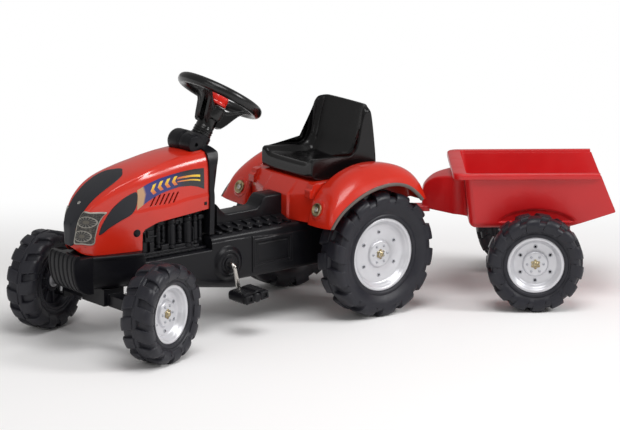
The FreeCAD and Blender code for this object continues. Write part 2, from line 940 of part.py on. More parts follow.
def yz_prism(points, x0, x1):
    corners = [V(x0, y, z) for y, z in points]
    face = Part.Face(Part.makePolygon(corners + corners[:1]))
    return face.extrude(V(x1 - x0, 0, 0))


def soft_xz_prism(points, y0, y1):
    # A closed smooth outline in X and Z through the given corners, made solid across Y.
    corners = [V(x, y0, z) for x, z in points]
    curve = Part.BSplineCurve()
    curve.buildFromPoles(corners, True, 3)
    return Part.Face(Part.Wire([curve.toShape()])).extrude(V(0, y1 - y0, 0))


over = num("overrun")
bonnet_outer = bonnet_solid(0.0, 0.0)
bonnet_shell = bonnet_outer.cut(bonnet_solid(-num("bonnet_wall"), over))
reach = num("bonnet_half") + over
cutout = xz_prism([
    (num("cutout_low_front"), num("bonnet_base") - over),
    (num("cutout_low_front"), num("cutout_front_top")),
    (num("cutout_bend"), num("cutout_bend_top")),
    (num("firewall_x") - over, num("cutout_rear_top")),
    (num("firewall_x") - over, num("bonnet_base") - over),
], -reach, reach)
bonnet_shell = bonnet_shell.cut(cutout)
for i in range(int(num("louvre_count"))):
    low_x = num("louvre_first") - num("louvre_pitch") * i
    high_x = low_x - num("louvre_lean")
    wide = num("louvre_width")
    slot = xz_prism([
        (low_x, num("louvre_low")),
        (low_x - wide, num("louvre_low")),
        (high_x - wide, num("louvre_high")),
        (high_x, num("louvre_high")),
    ], -reach, reach)
    bonnet_shell = bonnet_shell.cut(slot)


def cross_pin(x, z, radius, y0, y1):
    return Part.makeCylinder(radius, y1 - y0, V(x, y0, z), V(0, 1, 0))


bonnet_shell = bonnet_shell.cut(cross_pin(num("plug_x"), num("plug_z"), num("plug_radius"), -reach, reach))
bonnet_shell = bonnet_shell.cut(cross_pin(num("screw_x"), num("screw_z"), num("screw_radius"), -reach, reach))
node(formed("bonnet_moulding", bonnet_shell), "bonnet")

# The plugs and screws fill their holes from just inside the shell to a little proud of it.

bonnet_proud = bonnet_solid(num("plug_head"), 0.0)
bonnet_inside = bonnet_solid(-num("bonnet_wall"), over)


def filler(x, z, radius):
    bar = cross_pin(x, z, radius - num("running_clearance"), -reach, reach)
    return bar.common(bonnet_proud).cut(bonnet_inside)


node(formed("plug_pair", filler(num("plug_x"), num("plug_z"), num("plug_radius"))), "bonnet_plugs")
node(formed("screw_pair", filler(num("screw_x"), num("screw_z"), num("screw_radius"))), "bonnet_screws")

# Inlays lie on the bonnet: the nose grille, the lamp panels and the side vents.

skin = bonnet_solid(num("inlay"), 0.0).cut(bonnet_outer)
base_z, tall, wide_half = num("bonnet_base"), num("bonnet_height"), num("bonnet_half")
nose_x = num("firewall_x") + num("bonnet_length")
grille_y_shares = [0.2, 0.25, 0.34, 0.43, 0.54, 0.57, 0.46, 0.14]
grille_z_shares = [0.08, 0.18, 0.36, 0.5, 0.66, 0.78, 0.84, 0.865]
grille_right = [
    (wide_half * a, base_z + tall * b) for a, b in zip(grille_y_shares, grille_z_shares)
]
grille_outline = grille_right + [(-y, z) for y, z in reversed(grille_right)]
grille_back = num("firewall_x") + num("bonnet_length") * station_shares[1]
grille = skin.common(yz_prism(grille_outline, grille_back, nose_x + over))
node(formed("nose_grille", grille), "grille")
lamp_y_shares = [0.27, 0.6, 0.7, 0.42]
lamp_z_shares = [0.15, 0.13, 0.46, 0.48]
lamp_outline = [(wide_half * a, base_z + tall * b) for a, b in zip(lamp_y_shares, lamp_z_shares)]
lamp_back = num("firewall_x") + num("bonnet_length") * station_shares[4]
lamp_left = skin.common(yz_prism(lamp_outline, lamp_back, nose_x + over))
lamp_left = max(lamp_left.Solids, key=lambda solid: solid.Volume)
node(formed("lamp_panel_left", lamp_left), "headlamp_left")
node(mirrored("lamp_panel_right", nodes[-1]), "headlamp_right")
vent_x_shares = [0.56, 0.535, 0.56, 0.66, 0.82, 0.845, 0.81, 0.7]
vent_z_shares = [0.655, 0.58, 0.43, 0.32, 0.215, 0.24, 0.4, 0.57]
vent_outline = [
    (num("firewall_x") + num("bonnet_length") * a, base_z + tall * b)
    for a, b in zip(vent_x_shares, vent_z_shares)
]
vent_left = skin.common(soft_xz_prism(vent_outline, num("running_clearance"), reach))
node(formed("vent_inlay_left", vent_left), "vent_left")
node(mirrored("vent_inlay_right", nodes[-1]), "vent_right")

# Engine relief plates stand on the frame's ledge behind the bonnet's side cut-outs.

engine_plate = block(
    "engine_plate",
    (S.engine_rear, S.engine_back, S.ledge_top),
    S.engine_front - S.engine_rear,
    S.engine_face - S.engine_back,
    S.engine_top - S.ledge_top,
)
engine_length = S.engine_front - S.engine_rear
engine_tall = S.engine_top - S.ledge_top
engine_bits = [engine_plate]
pot_x_shares = [0.16, 0.4, 0.66]
pot_radius_shares = [0.9, 0.65, 1.0]
pot_low_shares = [0.3, 0.15, 0.35]
for x_share, radius_share, low_share in zip(pot_x_shares, pot_radius_shares, pot_low_shares):
    engine_bits.append(cylinder(
        "engine_pot",
        S.cylinder_radius * radius_share,
        engine_tall * (1.0 - low_share),
        (S.engine_rear + engine_length * x_share, S.engine_face, S.ledge_top + engine_tall * low_share),
        "Z",
    ))
sump_shares = [(0.05, 0.0, 0.55, 0.28), (0.66, 0.0, 0.3, 0.5), (0.8, 0.5, 0.14, 0.35)]
for x_share, z_share, long_share, high_share in sump_shares:
    engine_bits.append(block(
        "engine_step",
        (S.engine_rear + engine_length * x_share, S.engine_back, S.ledge_top + engine_tall * z_share),
        engine_length * long_share,
        S.engine_face - S.engine_back + S.cylinder_radius * 0.6,
        engine_tall * high_share,
    ))
engine_solid = fused("engine_relief", engine_bits)
engine_keep = block(
    "engine_keep",
    (S.engine_rear, S.engine_back, S.ledge_top),
    engine_length,
    S.bonnet_half - S.bonnet_wall * 2 - S.engine_back,
    engine_tall + S.overrun,
)
engine_left = node(shared("engine_relief_left", engine_solid, engine_keep), "engine_left")
node(mirrored("engine_relief_right", engine_left), "engine_right")

# Dash: a narrow bulkhead behind the bonnet with a rounded cowl over the bonnet's rear edge.

dash_front = S.firewall_x - S.seat_gap
dash_rear_top = dash_front - S.dash_depth
dash_rise = S.dash_top - S.deck_top
dash_rear_shares = [(0.0, 1.0), (0.1, 0.9), (0.42, 0.78), (0.4, 0.55), (0.36, 0.3)]
bulkhead = wide_solid("dash_bulkhead", [
    (dash_front - S.dash_foot_depth, S.deck_top),
    (dash_front, S.deck_top),
    (dash_front, S.dash_top),
] + [
    (dash_rear_top + S.dash_depth * a, S.deck_top + dash_rise * b) for a, b in dash_rear_shares
], S.dash_half * 2)
cowl_rise = S.cowl_top - S.cowl_base
cowl_run = S.cowl_front - dash_front
cowl_shares = [(0.96, 0.0), (1.0, 0.28), (0.92, 0.64), (0.72, 0.9), (0.36, 1.0), (0.0, 0.94)]
cowl_root = S.dash_top - cowl_rise / 2
cowl = wide_solid("dash_cowl", [
    (dash_rear_top, cowl_root),
    (dash_front, cowl_root),
    (dash_front, S.cowl_base),
] + [
    (dash_front + cowl_run * a, S.cowl_base + cowl_rise * b) for a, b in cowl_shares
] + [
    (dash_rear_top, S.cowl_base),
], S.cowl_half * 2)
collar = on_column("column_collar", S.collar_radius, -S.overrun, S.overrun + S.collar_height)
dash_bore = on_column(
    "column_bore", S.shaft_radius + S.running_clearance, -S.column_down, S.column_down + S.overrun * 2
)
node(removed("dash_moulding", fused("dash_solid", [bulkhead, cowl, collar]), [dash_bore]), "dash")

# Front bumper weight with upright ribs, on the frame's front end.

bumper_run = S.bumper_length
bumper_front = S.frame_front + bumper_run
bumper_tall = S.bumper_top - S.bumper_low
bumper_shares = [(0.6, 0.04), (0.86, 0.24), (1.0, 0.66), (0.96, 0.94), (0.8, 1.0), (0.66, 1.0)]
bumper_step = S.frame_front + bumper_run * bumper_shares[-1][0]
bumper = wide_solid("bumper_block", [
    (S.frame_front, S.bumper_low),
] + [
    (S.frame_front + bumper_run * a, S.bumper_low + bumper_tall * b) for a, b in bumper_shares
] + [
    (bumper_step, S.bonnet_base - S.seat_gap),
    (S.frame_front, S.bonnet_base - S.seat_gap),
], S.bumper_half * 2)
grooves = []
groove_total = int(num("bumper_rib_count"))
for i in range(groove_total):
    groove_share = (i + 0.5) / groove_total
    grooves.append(block(
        "bumper_groove",
        (
            bumper_front - S.bumper_groove_depth * 2,
            S.bumper_half * 2 * groove_share - S.bumper_half - S.bumper_groove / 2,
            S.bumper_low + bumper_tall * 0.42,
        ),
        S.overrun,
        S.bumper_groove,
        bumper_tall * 0.46,
    ))
node(removed("bumper_weight", bumper, grooves), "bumper")

# Front axle beam with a yoke at each end for the kingpin.

axle_z = S.front_tyre_radius
beam = block(
    "beam_bar",
    (S.wheelbase - S.beam_half_depth, -S.beam_half_length, axle_z - S.beam_half_height),
    S.beam_half_depth * 2,
    S.beam_half_length * 2,
    S.beam_half_height * 2,
)
pedestal = block(
    "beam_pedestal",
    (S.wheelbase - S.pedestal_half_x, -S.pedestal_half_y, axle_z - S.beam_half_height),
    S.pedestal_half_x * 2,
    S.pedestal_half_y * 2,
    S.front_floor - axle_z + S.beam_half_height,
)
beam_parts = [beam, pedestal]
beam_holes = []
yoke_height = S.yoke_half_height * 2
for side in (1, -1):
    web_low = S.beam_half_length if side > 0 else -S.beam_half_length - S.yoke_web
    beam_parts.append(block(
        "yoke_web",
        (S.wheelbase - S.beam_half_depth, web_low, axle_z - S.yoke_half_height),
        S.beam_half_depth * 2,
        S.yoke_web,
        yoke_height,
    ))
    eye_low = S.beam_half_length if side > 0 else -kingpin_y - S.yoke_outer
    for low in (axle_z - S.yoke_half_height, axle_z + S.yoke_half_height - S.yoke_plate):
        beam_parts.append(block(
            "yoke_eye",
            (S.wheelbase - S.yoke_outer, eye_low, low),
            S.yoke_outer * 2,
            kingpin_y + S.yoke_outer - S.beam_half_length,
            S.yoke_plate,
        ))
    beam_holes.append(cylinder(
        "kingpin_bore",
        S.kingpin_radius + S.running_clearance,
        yoke_height + S.overrun * 2,
        (S.wheelbase, kingpin_y * side, axle_z - S.yoke_half_height - S.overrun),
        "Z",
    ))
node(removed("beam_casting", fused("beam_solid", beam_parts), beam_holes), "axle_beam")
kingpins = []
for side in (1, -1):
    kingpins.append(fused("kingpin", [
        cylinder(
            "kingpin_shank",
            S.kingpin_radius,
            yoke_height + S.kingpin_head,
            (S.wheelbase, kingpin_y * side, axle_z - S.yoke_half_height - S.kingpin_head),
            "Z",
        ),
        cylinder(
            "kingpin_top",
            S.kingpin_head_radius,
            S.kingpin_head,
            (S.wheelbase, kingpin_y * side, axle_z + S.yoke_half_height),
            "Z",
        ),
    ]))
node(group("kingpin_pair", kingpins), "kingpins")

# Knuckles: a sleeve on the kingpin, the stub axle outwards and the steering arm to the rear.

sleeve_height = yoke_height - S.yoke_plate * 2 - S.sleeve_gap * 2
stub_end = S.scrub + S.front_boss_out + S.seat_gap + S.cap_depth
for side, word in ((1, "left"), (-1, "right")):
    sleeve = cylinder(
        "knuckle_sleeve",
        S.knuckle_radius,
        sleeve_height,
        (zero, zero, sleeve_height * -0.5),
        "Z",
    )
    stub = cylinder(
        "stub_axle", S.wheel_axle_radius, stub_end, (zero, zero if side > 0 else -stub_end, zero)
    )
    shoulder = cylinder(
        "stub_shoulder",
        S.shoulder_radius,
        S.scrub - S.hub_back - S.seat_gap,
        (zero, zero if side > 0 else S.hub_back + S.seat_gap - S.scrub, zero),
    )
    arm_low = S.arm_top - S.arm_thick - axle_z
    arm = plan_solid("steering_arm_%s" % word, [
        (zero, S.arm_half * side),
        (-S.arm_back, (S.arm_half - S.arm_in) * side),
        (-S.arm_back - S.arm_half, -S.arm_in * side),
        (-S.arm_back, (-S.arm_half - S.arm_in) * side),
        (zero, -S.arm_half * side),
    ], arm_low, S.arm_thick)
    pin = cylinder(
        "arm_pin",
        S.link_pin_radius,
        S.link_pin_drop,
        (-S.arm_back, -S.arm_in * side, arm_low + S.arm_thick - S.link_pin_drop),
        "Z",
    )
    hole = cylinder(
        "knuckle_bore",
        S.kingpin_radius + S.running_clearance,
        sleeve_height + S.overrun * 2,
        (zero, zero, sleeve_height * -0.5 - S.overrun),
        "Z",
    )
    knuckle = removed("knuckle_casting_%s" % word, fused("knuckle_solid", [sleeve, stub, shoulder, arm, pin]), [hole])
    knuckle.Placement = steered(side)
    node(knuckle, "knuckle_%s" % word)

# Tie plate: one flat steel T under the frame. It slides sideways with the steering shaft's pin.

tie_low = S.tie_top - S.tie_thick
tie_x = S.wheelbase - S.arm_back
tie_reach = num("arm_back") * math.sin(math.radians(num("steer_limit")))
tie_shift = -tie_reach * num("steer_rest") / num("steer_limit")
eye_y = kingpin_y - S.arm_in
tie_parts = [
    block(
        "tie_bar",
        (tie_x - S.tie_bar_half, -eye_y, tie_low),
        S.tie_bar_half * 2,
        eye_y * 2,
        S.tie_thick,
    ),
    block(
        "tie_tongue",
        (S.tongue_end, -S.tongue_half, tie_low),
        tie_x - S.tongue_end,
        S.tongue_half * 2,
        S.tie_thick,
    ),
]
tie_slots = [block(
    "tongue_slot",
    (S.tongue_slot_rear, -S.link_pin_radius - S.tongue_slot_play, tie_low - S.overrun),
    S.tongue_slot_front - S.tongue_slot_rear,
    (S.link_pin_radius + S.tongue_slot_play) * 2,
    S.overrun * 2,
)]
for side in (1, -1):
    tie_parts.append(block(
        "tie_eye",
        (tie_x - S.tie_eye_back, eye_y * side - S.tie_eye_half, tie_low),
        S.tie_eye_back + S.tie_eye_front,
        S.tie_eye_half * 2,
        S.tie_thick,
    ))
    tie_slots.append(block(
        "tie_slot",
        (
            tie_x - S.tie_slot_back,
            eye_y * side - S.link_pin_radius - S.tie_slot_play,
            tie_low - S.overrun,
        ),
        S.tie_slot_back + S.tie_slot_front,
        (S.link_pin_radius + S.tie_slot_play) * 2,
        S.overrun * 2,
    ))
tie = removed("tie_stamping", fused("tie_solid", tie_parts), tie_slots)
tie.Placement = FreeCAD.Placement(V(0, tie_shift, 0), FreeCAD.Rotation())
node(tie, "tie_plate")

# Steering: a long shaft with a cranked foot, and the wheel with its hub and sleeve.
# The steering frame has its axis along Z, its origin where the column leaves the dash.

steer_spin = FreeCAD.Rotation(V(0, 0, 1), num("steer_rest") * num("steer_ratio"))
steer_place = FreeCAD.Placement(column_foot, column_rotation.multiply(steer_spin))
foot_z = -S.column_down
shaft_end = S.hub_top - S.bush_wall * 3
shaft_bar = cylinder("shaft_bar", S.shaft_radius, S.column_down + shaft_end, (zero, zero, foot_z), "Z")
shaft_arm = cylinder("shaft_arm", S.steer_arm_radius, S.steer_arm, (-S.steer_arm, zero, foot_z), "X")
shaft_elbow = ball("shaft_elbow", S.shaft_radius, (zero, zero, foot_z))
shaft_tip = ball("shaft_tip", S.steer_arm_radius, (-S.steer_arm, zero, foot_z))
shaft_pin = doc.addObject("Part::Cylinder", "shaft_pin")
bind(shaft_pin, "Radius", S.link_pin_radius)
bind(shaft_pin, "Height", S.steer_pin_drop)
pin_down = FreeCAD.Rotation(V(0, 1, 0), num("column_lean"))
pin_down = pin_down.multiply(FreeCAD.Rotation(V(1, 0, 0), 180))
shaft_pin.Placement = FreeCAD.Placement(V(-num("steer_arm"), 0, -num("column_down")), pin_down)
shaft = fused("shaft_rod", [shaft_bar, shaft_arm, shaft_elbow, shaft_tip, shaft_pin])
shaft.Placement = steer_place
node(shaft, "steering_shaft")

grip = doc.addObject("Part::Torus", "steering_grip")
bind(grip, "Radius1", S.wheel_radius)
bind(grip, "Radius2", S.grip_radius)
moved(grip, (zero, zero, S.wheel_rise))
sleeve = cylinder("column_sleeve", S.sleeve_radius, S.hub_start - S.sleeve_start + S.bush_wall, (zero, zero, S.sleeve_start), "Z")
hub = cylinder("wheel_hub", S.hub_block_radius, S.hub_top - S.hub_start, (zero, zero, S.hub_start), "Z")
wheel_bits = [grip, sleeve, hub]
spoke_angles = [0.0, 120.0, 240.0]
hub_mid = num("hub_top") - num("spoke_thick")
for turn in spoke_angles:
    inner = num("hub_block_radius") * 0.8
    outer = num("wheel_radius")
    rise = num("wheel_rise") - hub_mid - num("spoke_thick") * 0.5
    slope = math.atan2(rise, outer - inner)
    length = math.hypot(rise, outer - inner)
    spoke = Part.makeBox(
        length, num("spoke_width"), num("spoke_thick"), V(0, -num("spoke_width") / 2, 0)
    )
    spoke.Placement = FreeCAD.Placement(
        V(inner, 0, hub_mid), FreeCAD.Rotation(V(0, 1, 0), -math.degrees(slope))
    )
    spoke.rotate(V(0, 0, 0), V(0, 0, 1), turn)
    wheel_bits.append(formed("steering_spoke", spoke))
wheel_bore = cylinder("wheel_bore", S.shaft_radius + S.running_clearance, shaft_end, (zero, zero, zero), "Z")
horn_bore = cylinder(
    "horn_bore", S.horn_stem_radius + S.running_clearance, S.hub_top, (zero, zero, zero), "Z"
)
horn_room = cylinder(
    "horn_room",
    S.horn_radius + S.seat_gap,
    S.horn_height + S.overrun,
    (zero, zero, S.hub_top),
    "Z",
)
steering_wheel = removed("wheel_moulding", fused("wheel_solid", wheel_bits), [wheel_bore, horn_bore, horn_room])
steering_wheel.Placement = steer_place
node(steering_wheel, "steering_wheel")
horn_cap = cylinder("horn_cap", S.horn_radius, S.horn_height, (zero, zero, S.hub_top + S.horn_travel_gap), "Z")
horn_cup = cylinder(
    "horn_cup",
    S.horn_radius - S.wall,
    S.horn_height - S.wall,
    (zero, zero, S.hub_top + S.horn_travel_gap),
    "Z",
)
horn_foot = S.hub_top - S.bush_wall * 2
horn_stem = cylinder(
    "horn_stem",
    S.horn_stem_radius,
    S.hub_top + S.horn_travel_gap + S.horn_height - S.wall / 2 - horn_foot,
    (zero, zero, horn_foot),
    "Z",
)
horn = fused("horn_moulding", [removed("horn_shell", horn_cap, [horn_cup]), horn_stem])
horn.Placement = steer_place
node(horn, "horn_pad")

# Saddle and mudguards in one moulding. The guards are lofts across the wheel, thin all over.

guard_x_shares = [
    [1.02, 0.973, 0.836, 0.466, 0.034, -0.411, -0.74, -0.877, -0.925],
    [1.02, 0.973, 0.836, 0.466, 0.034, -0.411, -0.74, -0.877, -0.925],
    [1.017, 0.966, 0.808, 0.452, 0.034, -0.377, -0.651, -0.781, -0.829],
    [1.014, 0.897, 0.74, 0.397, 0.034, -0.274, -0.507, -0.651, -0.699],
]
guard_z_shares = [
    [0.078, 0.364, 0.643, 0.895, 0.996, 0.922, 0.744, 0.481, 0.248],
    [0.078, 0.364, 0.643, 0.895, 0.996, 0.922, 0.744, 0.481, 0.248],
    [0.093, 0.341, 0.558, 0.744, 0.833, 0.814, 0.667, 0.45, 0.31],
    [0.109, 0.295, 0.434, 0.636, 0.717, 0.698, 0.581, 0.419, 0.341],
]
guard_ys = [num("guard_inner"), num("guard_crown"), num("guard_bend"), num("guard_edge")]


def guard_solid(inside):
    # One mudguard's form; inside is the room under it, which runs past its inner wall and its open sides.
    wall = num("wall")
    wires = []
    for i, (y, xs, zs) in enumerate(zip(guard_ys, guard_x_shares, guard_z_shares)):
        spots = []
        for a, b in zip(xs, zs):
            spot = V(num("guard_reach") * a, 0, num("guard_base") + num("guard_height") * b)
            if inside:
                towards = V(0, 0, num("guard_base")) - spot
                spot = spot + towards.normalize() * wall
            spots.append(spot)
        place_y = y
        if inside and i == 0:
            place_y = y + wall
        if inside and i == len(guard_ys) - 1:
            place_y = y + num("inlay")
        for spot in spots:
            spot.y = place_y
        arch = pole_curve(spots)
        if inside:
            floor = num("guard_base") - over
            ends = [V(spots[-1].x, place_y, floor), V(spots[0].x, place_y, floor)]
            closing = Part.makePolygon([spots[-1], ends[0], ends[1], spots[0]]).Edges
        else:
            closing = [Part.makeLine(spots[-1], spots[0])]
        wires.append(Part.Wire([arch] + closing))
    return Part.makeLoft(wires, True, False)


guard_left = guard_solid(False)
bolt_boss = Part.makeCylinder(
    num("guard_bolt_radius") + num("bush_flange_thick"),
    num("overrun"),
    V(num("guard_reach") - num("overrun"), num("guard_bolt_y"), num("guard_bolt_z")),
    V(1, 0, 0),
)
guard_left = guard_left.fuse(bolt_boss).cut(guard_solid(True))
guard_right = guard_left.mirror(V(0, 0, 0), V(0, 1, 0))
saddle_low = S.deck_top + S.seat_gap
saddle = wide_solid("saddle_outer", [
    (S.saddle_front, saddle_low),
    (S.saddle_front, S.saddle_shoulder),
    (S.saddle_crest, S.saddle_top),
    (-S.saddle_rear_crest, S.saddle_top),
    (-S.saddle_tail, S.saddle_shoulder),
    (-S.saddle_tail, saddle_low),
], S.guard_inner * 2)
saddle_room = wide_solid("saddle_room", [
    (S.saddle_front - S.wall, saddle_low - S.overrun),
    (S.saddle_front - S.wall, S.saddle_shoulder - S.wall / 2),
    (S.saddle_crest - S.wall / 2, S.saddle_top - S.wall),
    (-S.saddle_rear_crest + S.wall / 2, S.saddle_top - S.wall),
    (-S.saddle_tail + S.wall, S.saddle_shoulder - S.wall / 2),
    (-S.saddle_tail + S.wall, saddle_low - S.overrun),
], S.guard_inner * 2)
saddle_shell = removed("saddle_shell", saddle, [saddle_room])
bolt_bores = []
bolts = []
bolt_seat = S.guard_reach
for side in (1, -1):
    bolt_bores.append(cylinder(
        "guard_bolt_bore",
        S.guard_bolt_shank + S.running_clearance,
        S.overrun * 2,
        (bolt_seat - S.overrun, S.guard_bolt_y * side, S.guard_bolt_z),
        "X",
    ))
    head = cylinder(
        "guard_bolt_head",
        S.guard_bolt_radius,
        S.guard_bolt_head,
        (bolt_seat + S.running_clearance, S.guard_bolt_y * side, S.guard_bolt_z),
        "X",
    )
    shank = cylinder(
        "guard_bolt_shank",
        S.guard_bolt_shank,
        S.overrun,
        (bolt_seat + S.inlay * 2 - S.overrun, S.guard_bolt_y * side, S.guard_bolt_z),
        "X",
    )
    bolts.append(fused("guard_bolt", [head, shank]))
seat_unit = removed("saddle_moulding", fused("saddle_with_guards", [
    saddle_shell,
    formed("guard_moulding_left", guard_left),
    formed("guard_moulding_right", guard_right),
]), bolt_bores)
node(seat_unit, "seat_unit")
node(group("guard_bolt_pair", bolts), "fender_bolts")

# A dark edge strip closes each guard's outer edge.

edge_wires = []
for inset in (0.0, num("trim_depth")):
    spots = []
    for a, b in zip(guard_x_shares[-1], guard_z_shares[-1]):
        spot = V(num("guard_reach") * a, 0, num("guard_base") + num("guard_height") * b)
        towards = V(0, 0, num("guard_base")) - spot
        spots.append(spot + towards.normalize() * inset)
    for spot in spots:
        spot.y = num("guard_edge")
    edge_wires.append(spots)
strip_face = Part.Face(Part.Wire([
    pole_curve(edge_wires[0]),
    Part.makeLine(edge_wires[0][-1], edge_wires[1][-1]),
    pole_curve(list(reversed(edge_wires[1]))),
    Part.makeLine(edge_wires[1][0], edge_wires[0][0]),
]))
strip = strip_face.extrude(V(0, num("trim_width"), 0))
trim_left = node(formed("edge_strip_left", strip), "trim_left")
node(mirrored("edge_strip_right", trim_left), "trim_right")

# Seat: one moulded bucket, lofted across its width, with raised sides and a tall back.

seat_y_shares = [-1.0, -0.9, -0.72, -0.45, 0.0, 0.45, 0.72, 0.9, 1.0]
seat_edge_share = [1.0, 1.0, 0.12, 0.04, 0.0, 0.04, 0.12, 1.0, 1.0]
seat_side_shares = [
    (1.0, 0.0), (1.0, 0.297), (0.966, 0.338), (0.67, 0.31), (0.42, 0.276), (0.341, 0.317),
    (0.273, 0.434), (0.193, 0.931), (0.159, 0.985), (0.08, 0.985), (0.011, 0.255), (0.006, 0.0),
]
seat_middle_shares = [
    (1.0, 0.0), (1.0, 0.21), (0.966, 0.255), (0.7, 0.19), (0.42, 0.16), (0.3, 0.18),
    (0.215, 0.36), (0.1, 0.94), (0.085, 1.0), (0.045, 1.0), (0.0, 0.255), (0.0, 0.0),
]


def seat_section(y_share, edge_share):
    # One section across the seat, between the outline of its sides and the outline of its middle.
    rear, low, tall = -num("seat_back"), num("saddle_top"), num("seat_height")
    run = num("seat_front") - rear
    corners = []
    for (side_x, side_z), (middle_x, middle_z) in zip(seat_side_shares, seat_middle_shares):
        a = side_x * edge_share + middle_x * (1.0 - edge_share)
        b = side_z * edge_share + middle_z * (1.0 - edge_share)
        corners.append(V(rear + run * a, num("seat_half") * y_share, low + tall * b))
    return Part.makePolygon(corners + corners[:1])


seat_wires = [seat_section(*row) for row in zip(seat_y_shares, seat_edge_share)]
node(formed("seat_moulding", Part.makeLoft(seat_wires, True, True)), "seat")

# Pedal crank: one bent rod, with its chainwheel inside the frame. Its frame has the axle along Y.

crank_turn = FreeCAD.Rotation(V(0, 1, 0), num("crank_rest"))
crank_place = FreeCAD.Placement(V(num("crank_x"), 0, num("crank_z")), crank_turn)
pin_end = S.pedal_inner + S.pedal_length + S.seat_gap + S.cap_depth
crank_bits = [cylinder("crank_axle", S.crank_rod_radius, S.crank_arm_y * 2, (zero, -S.crank_arm_y, zero))]
for side in (1, -1):
    arm_base = -S.crank_throw if side > 0 else zero
    crank_bits.append(cylinder(
        "crank_arm", S.crank_rod_radius, S.crank_throw, (zero, S.crank_arm_y * side, arm_base), "Z"
    ))
    for z in (zero, S.crank_throw * -side):
        crank_bits.append(ball("crank_bend", S.crank_rod_radius, (zero, S.crank_arm_y * side, z)))
    pin_low = S.crank_arm_y if side > 0 else -pin_end
    crank_bits.append(cylinder(
        "pedal_pin", S.crank_rod_radius, pin_end - S.crank_arm_y, (zero, pin_low, S.crank_throw * -side)
    ))
crank = fused("crank_rod", crank_bits)
crank.Placement = crank_place
node(crank, "crank")


def drive_wheel(name, radius, bore, thick):
    disc = cylinder(name + "_disc", radius, thick, (zero, S.chain_y - thick / 2, zero))
    hub = cylinder(name + "_hub", bore + S.bush_wall * 2, thick * 3, (zero, S.chain_y - thick * 1.5, zero))
    hole = cylinder(
        name + "_bore",
        bore + S.running_clearance,
        thick * 3 + S.overrun * 2,
        (zero, S.chain_y - thick * 1.5 - S.overrun, zero),
    )
    return removed(name + "_turned", fused(name + "_solid", [disc, hub]), [hole])


chainwheel = drive_wheel("chainwheel", S.chainwheel_radius, S.crank_rod_radius, S.sprocket_thick)
chainwheel.Placement = crank_place
node(chainwheel, "chainwheel")
sprocket = drive_wheel("sprocket", S.sprocket_radius, S.rear_axle_radius, S.sprocket_thick)
sprocket.Placement = FreeCAD.Placement(V(0, 0, num("rear_tyre_radius")), FreeCAD.Rotation())
node(sprocket, "sprocket")


def belt_form(extra):
    # The outline round both chain wheels, extra outside them, as a flat solid of the chain's width.
    a = V(num("crank_x"), 0, num("crank_z"))
    b = V(0, 0, num("rear_tyre_radius"))
    ra = num("chainwheel_radius") + extra
    rb = num("sprocket_radius") + extra
    span = b - a
    tilt = math.acos((ra - rb) / span.Length)
    heading = math.atan2(span.z, span.x)
    y0 = num("chain_y") - num("chain_width") / 2

    def spot(centre, radius, angle):
        return V(centre.x + radius * math.cos(angle), y0, centre.z + radius * math.sin(angle))

    up, down = heading - tilt, heading + tilt
    edges = [
        Part.makeLine(spot(a, ra, up), spot(b, rb, up)),
        Part.Arc(spot(b, rb, up), spot(b, rb, heading), spot(b, rb, down)).toShape(),
        Part.makeLine(spot(b, rb, down), spot(a, ra, down)),
        Part.Arc(spot(a, ra, down), spot(a, ra, heading + math.pi), spot(a, ra, up)).toShape(),
    ]
    return Part.Face(Part.Wire(edges)).extrude(V(0, num("chain_width"), 0))


chain = belt_form(num("chain_gap") + num("chain_thick")).cut(belt_form(num("chain_gap")))
node(formed("chain_loop", chain), "chain")

pedal_outline_body = doc.addObject("PartDesign::Body", "pedal_block")
pedal_sketch = outline(pedal_outline_body, "XY_Plane", [
    (-S.pedal_half_width, S.pedal_inner),
    (S.pedal_half_width, S.pedal_inner),
    (S.pedal_half_width, S.pedal_inner + S.pedal_length),
    (S.pedal_notch / 2, S.pedal_inner + S.pedal_length),
    (S.pedal_notch / 2, S.pedal_inner + S.pedal_length - S.pedal_notch_depth),
    (-S.pedal_notch / 2, S.pedal_inner + S.pedal_length - S.pedal_notch_depth),
    (-S.pedal_notch / 2, S.pedal_inner + S.pedal_length),
    (-S.pedal_half_width, S.pedal_inner + S.pedal_length),
], "pedal_outline")
padded(pedal_outline_body, pedal_sketch, S.pedal_half_thick * 2, "pedal_pad", both_ways=True)
pedal_barrel = cylinder(
    "pedal_barrel",
    S.crank_rod_radius + S.bush_wall,
    S.pedal_length,
    (zero, S.pedal_inner, zero),
)
pedal_bore = cylinder(
    "pedal_bore",
    S.crank_rod_radius + S.running_clearance,
    S.pedal_length + S.overrun * 2,
    (zero, S.pedal_inner - S.overrun, zero),
)
pedal_master = removed("pedal_master", fused("pedal_solid", [pedal_outline_body, pedal_barrel]), [pedal_bore])
pedal_cap = cap_body("pedal_cap_master", S.crank_rod_radius, S.pedal_inner + S.pedal_length + S.seat_gap)
doc.recompute()
pedal_caps = []
for side, word in ((1, "left"), (-1, "right")):
    spot = crank_place.multVec(V(0, 0, -side * num("crank_throw")))
    shape = pedal_master.Shape.copy()
    cap = pedal_cap.Shape.copy()
    if side < 0:
        shape.rotate(V(0, 0, 0), V(0, 0, 1), 180)
        cap.rotate(V(0, 0, 0), V(0, 0, 1), 180)
    shape.translate(V(spot.x, 0, spot.z))
    cap.translate(V(spot.x, 0, spot.z))
    pedal_caps.append(cap)
    node(formed("pedal_moulding_%s" % word, shape), "pedal_%s" % word)
node(formed("pedal_cap_pair", Part.makeCompound(pedal_caps)), "pedal_caps")

# Rear axle, through both bushes and both wheels.

axle_half = S.rear_track / 2 + S.rear_boss_out + S.seat_gap + S.cap_depth
node(
    cylinder("axle_rod", S.rear_axle_radius, axle_half * 2, (zero, -axle_half, S.rear_tyre_radius)),
    "rear_axle",
)

# Hitch jaw on the frame's tail, with an upright pin through the drawbar's eye.

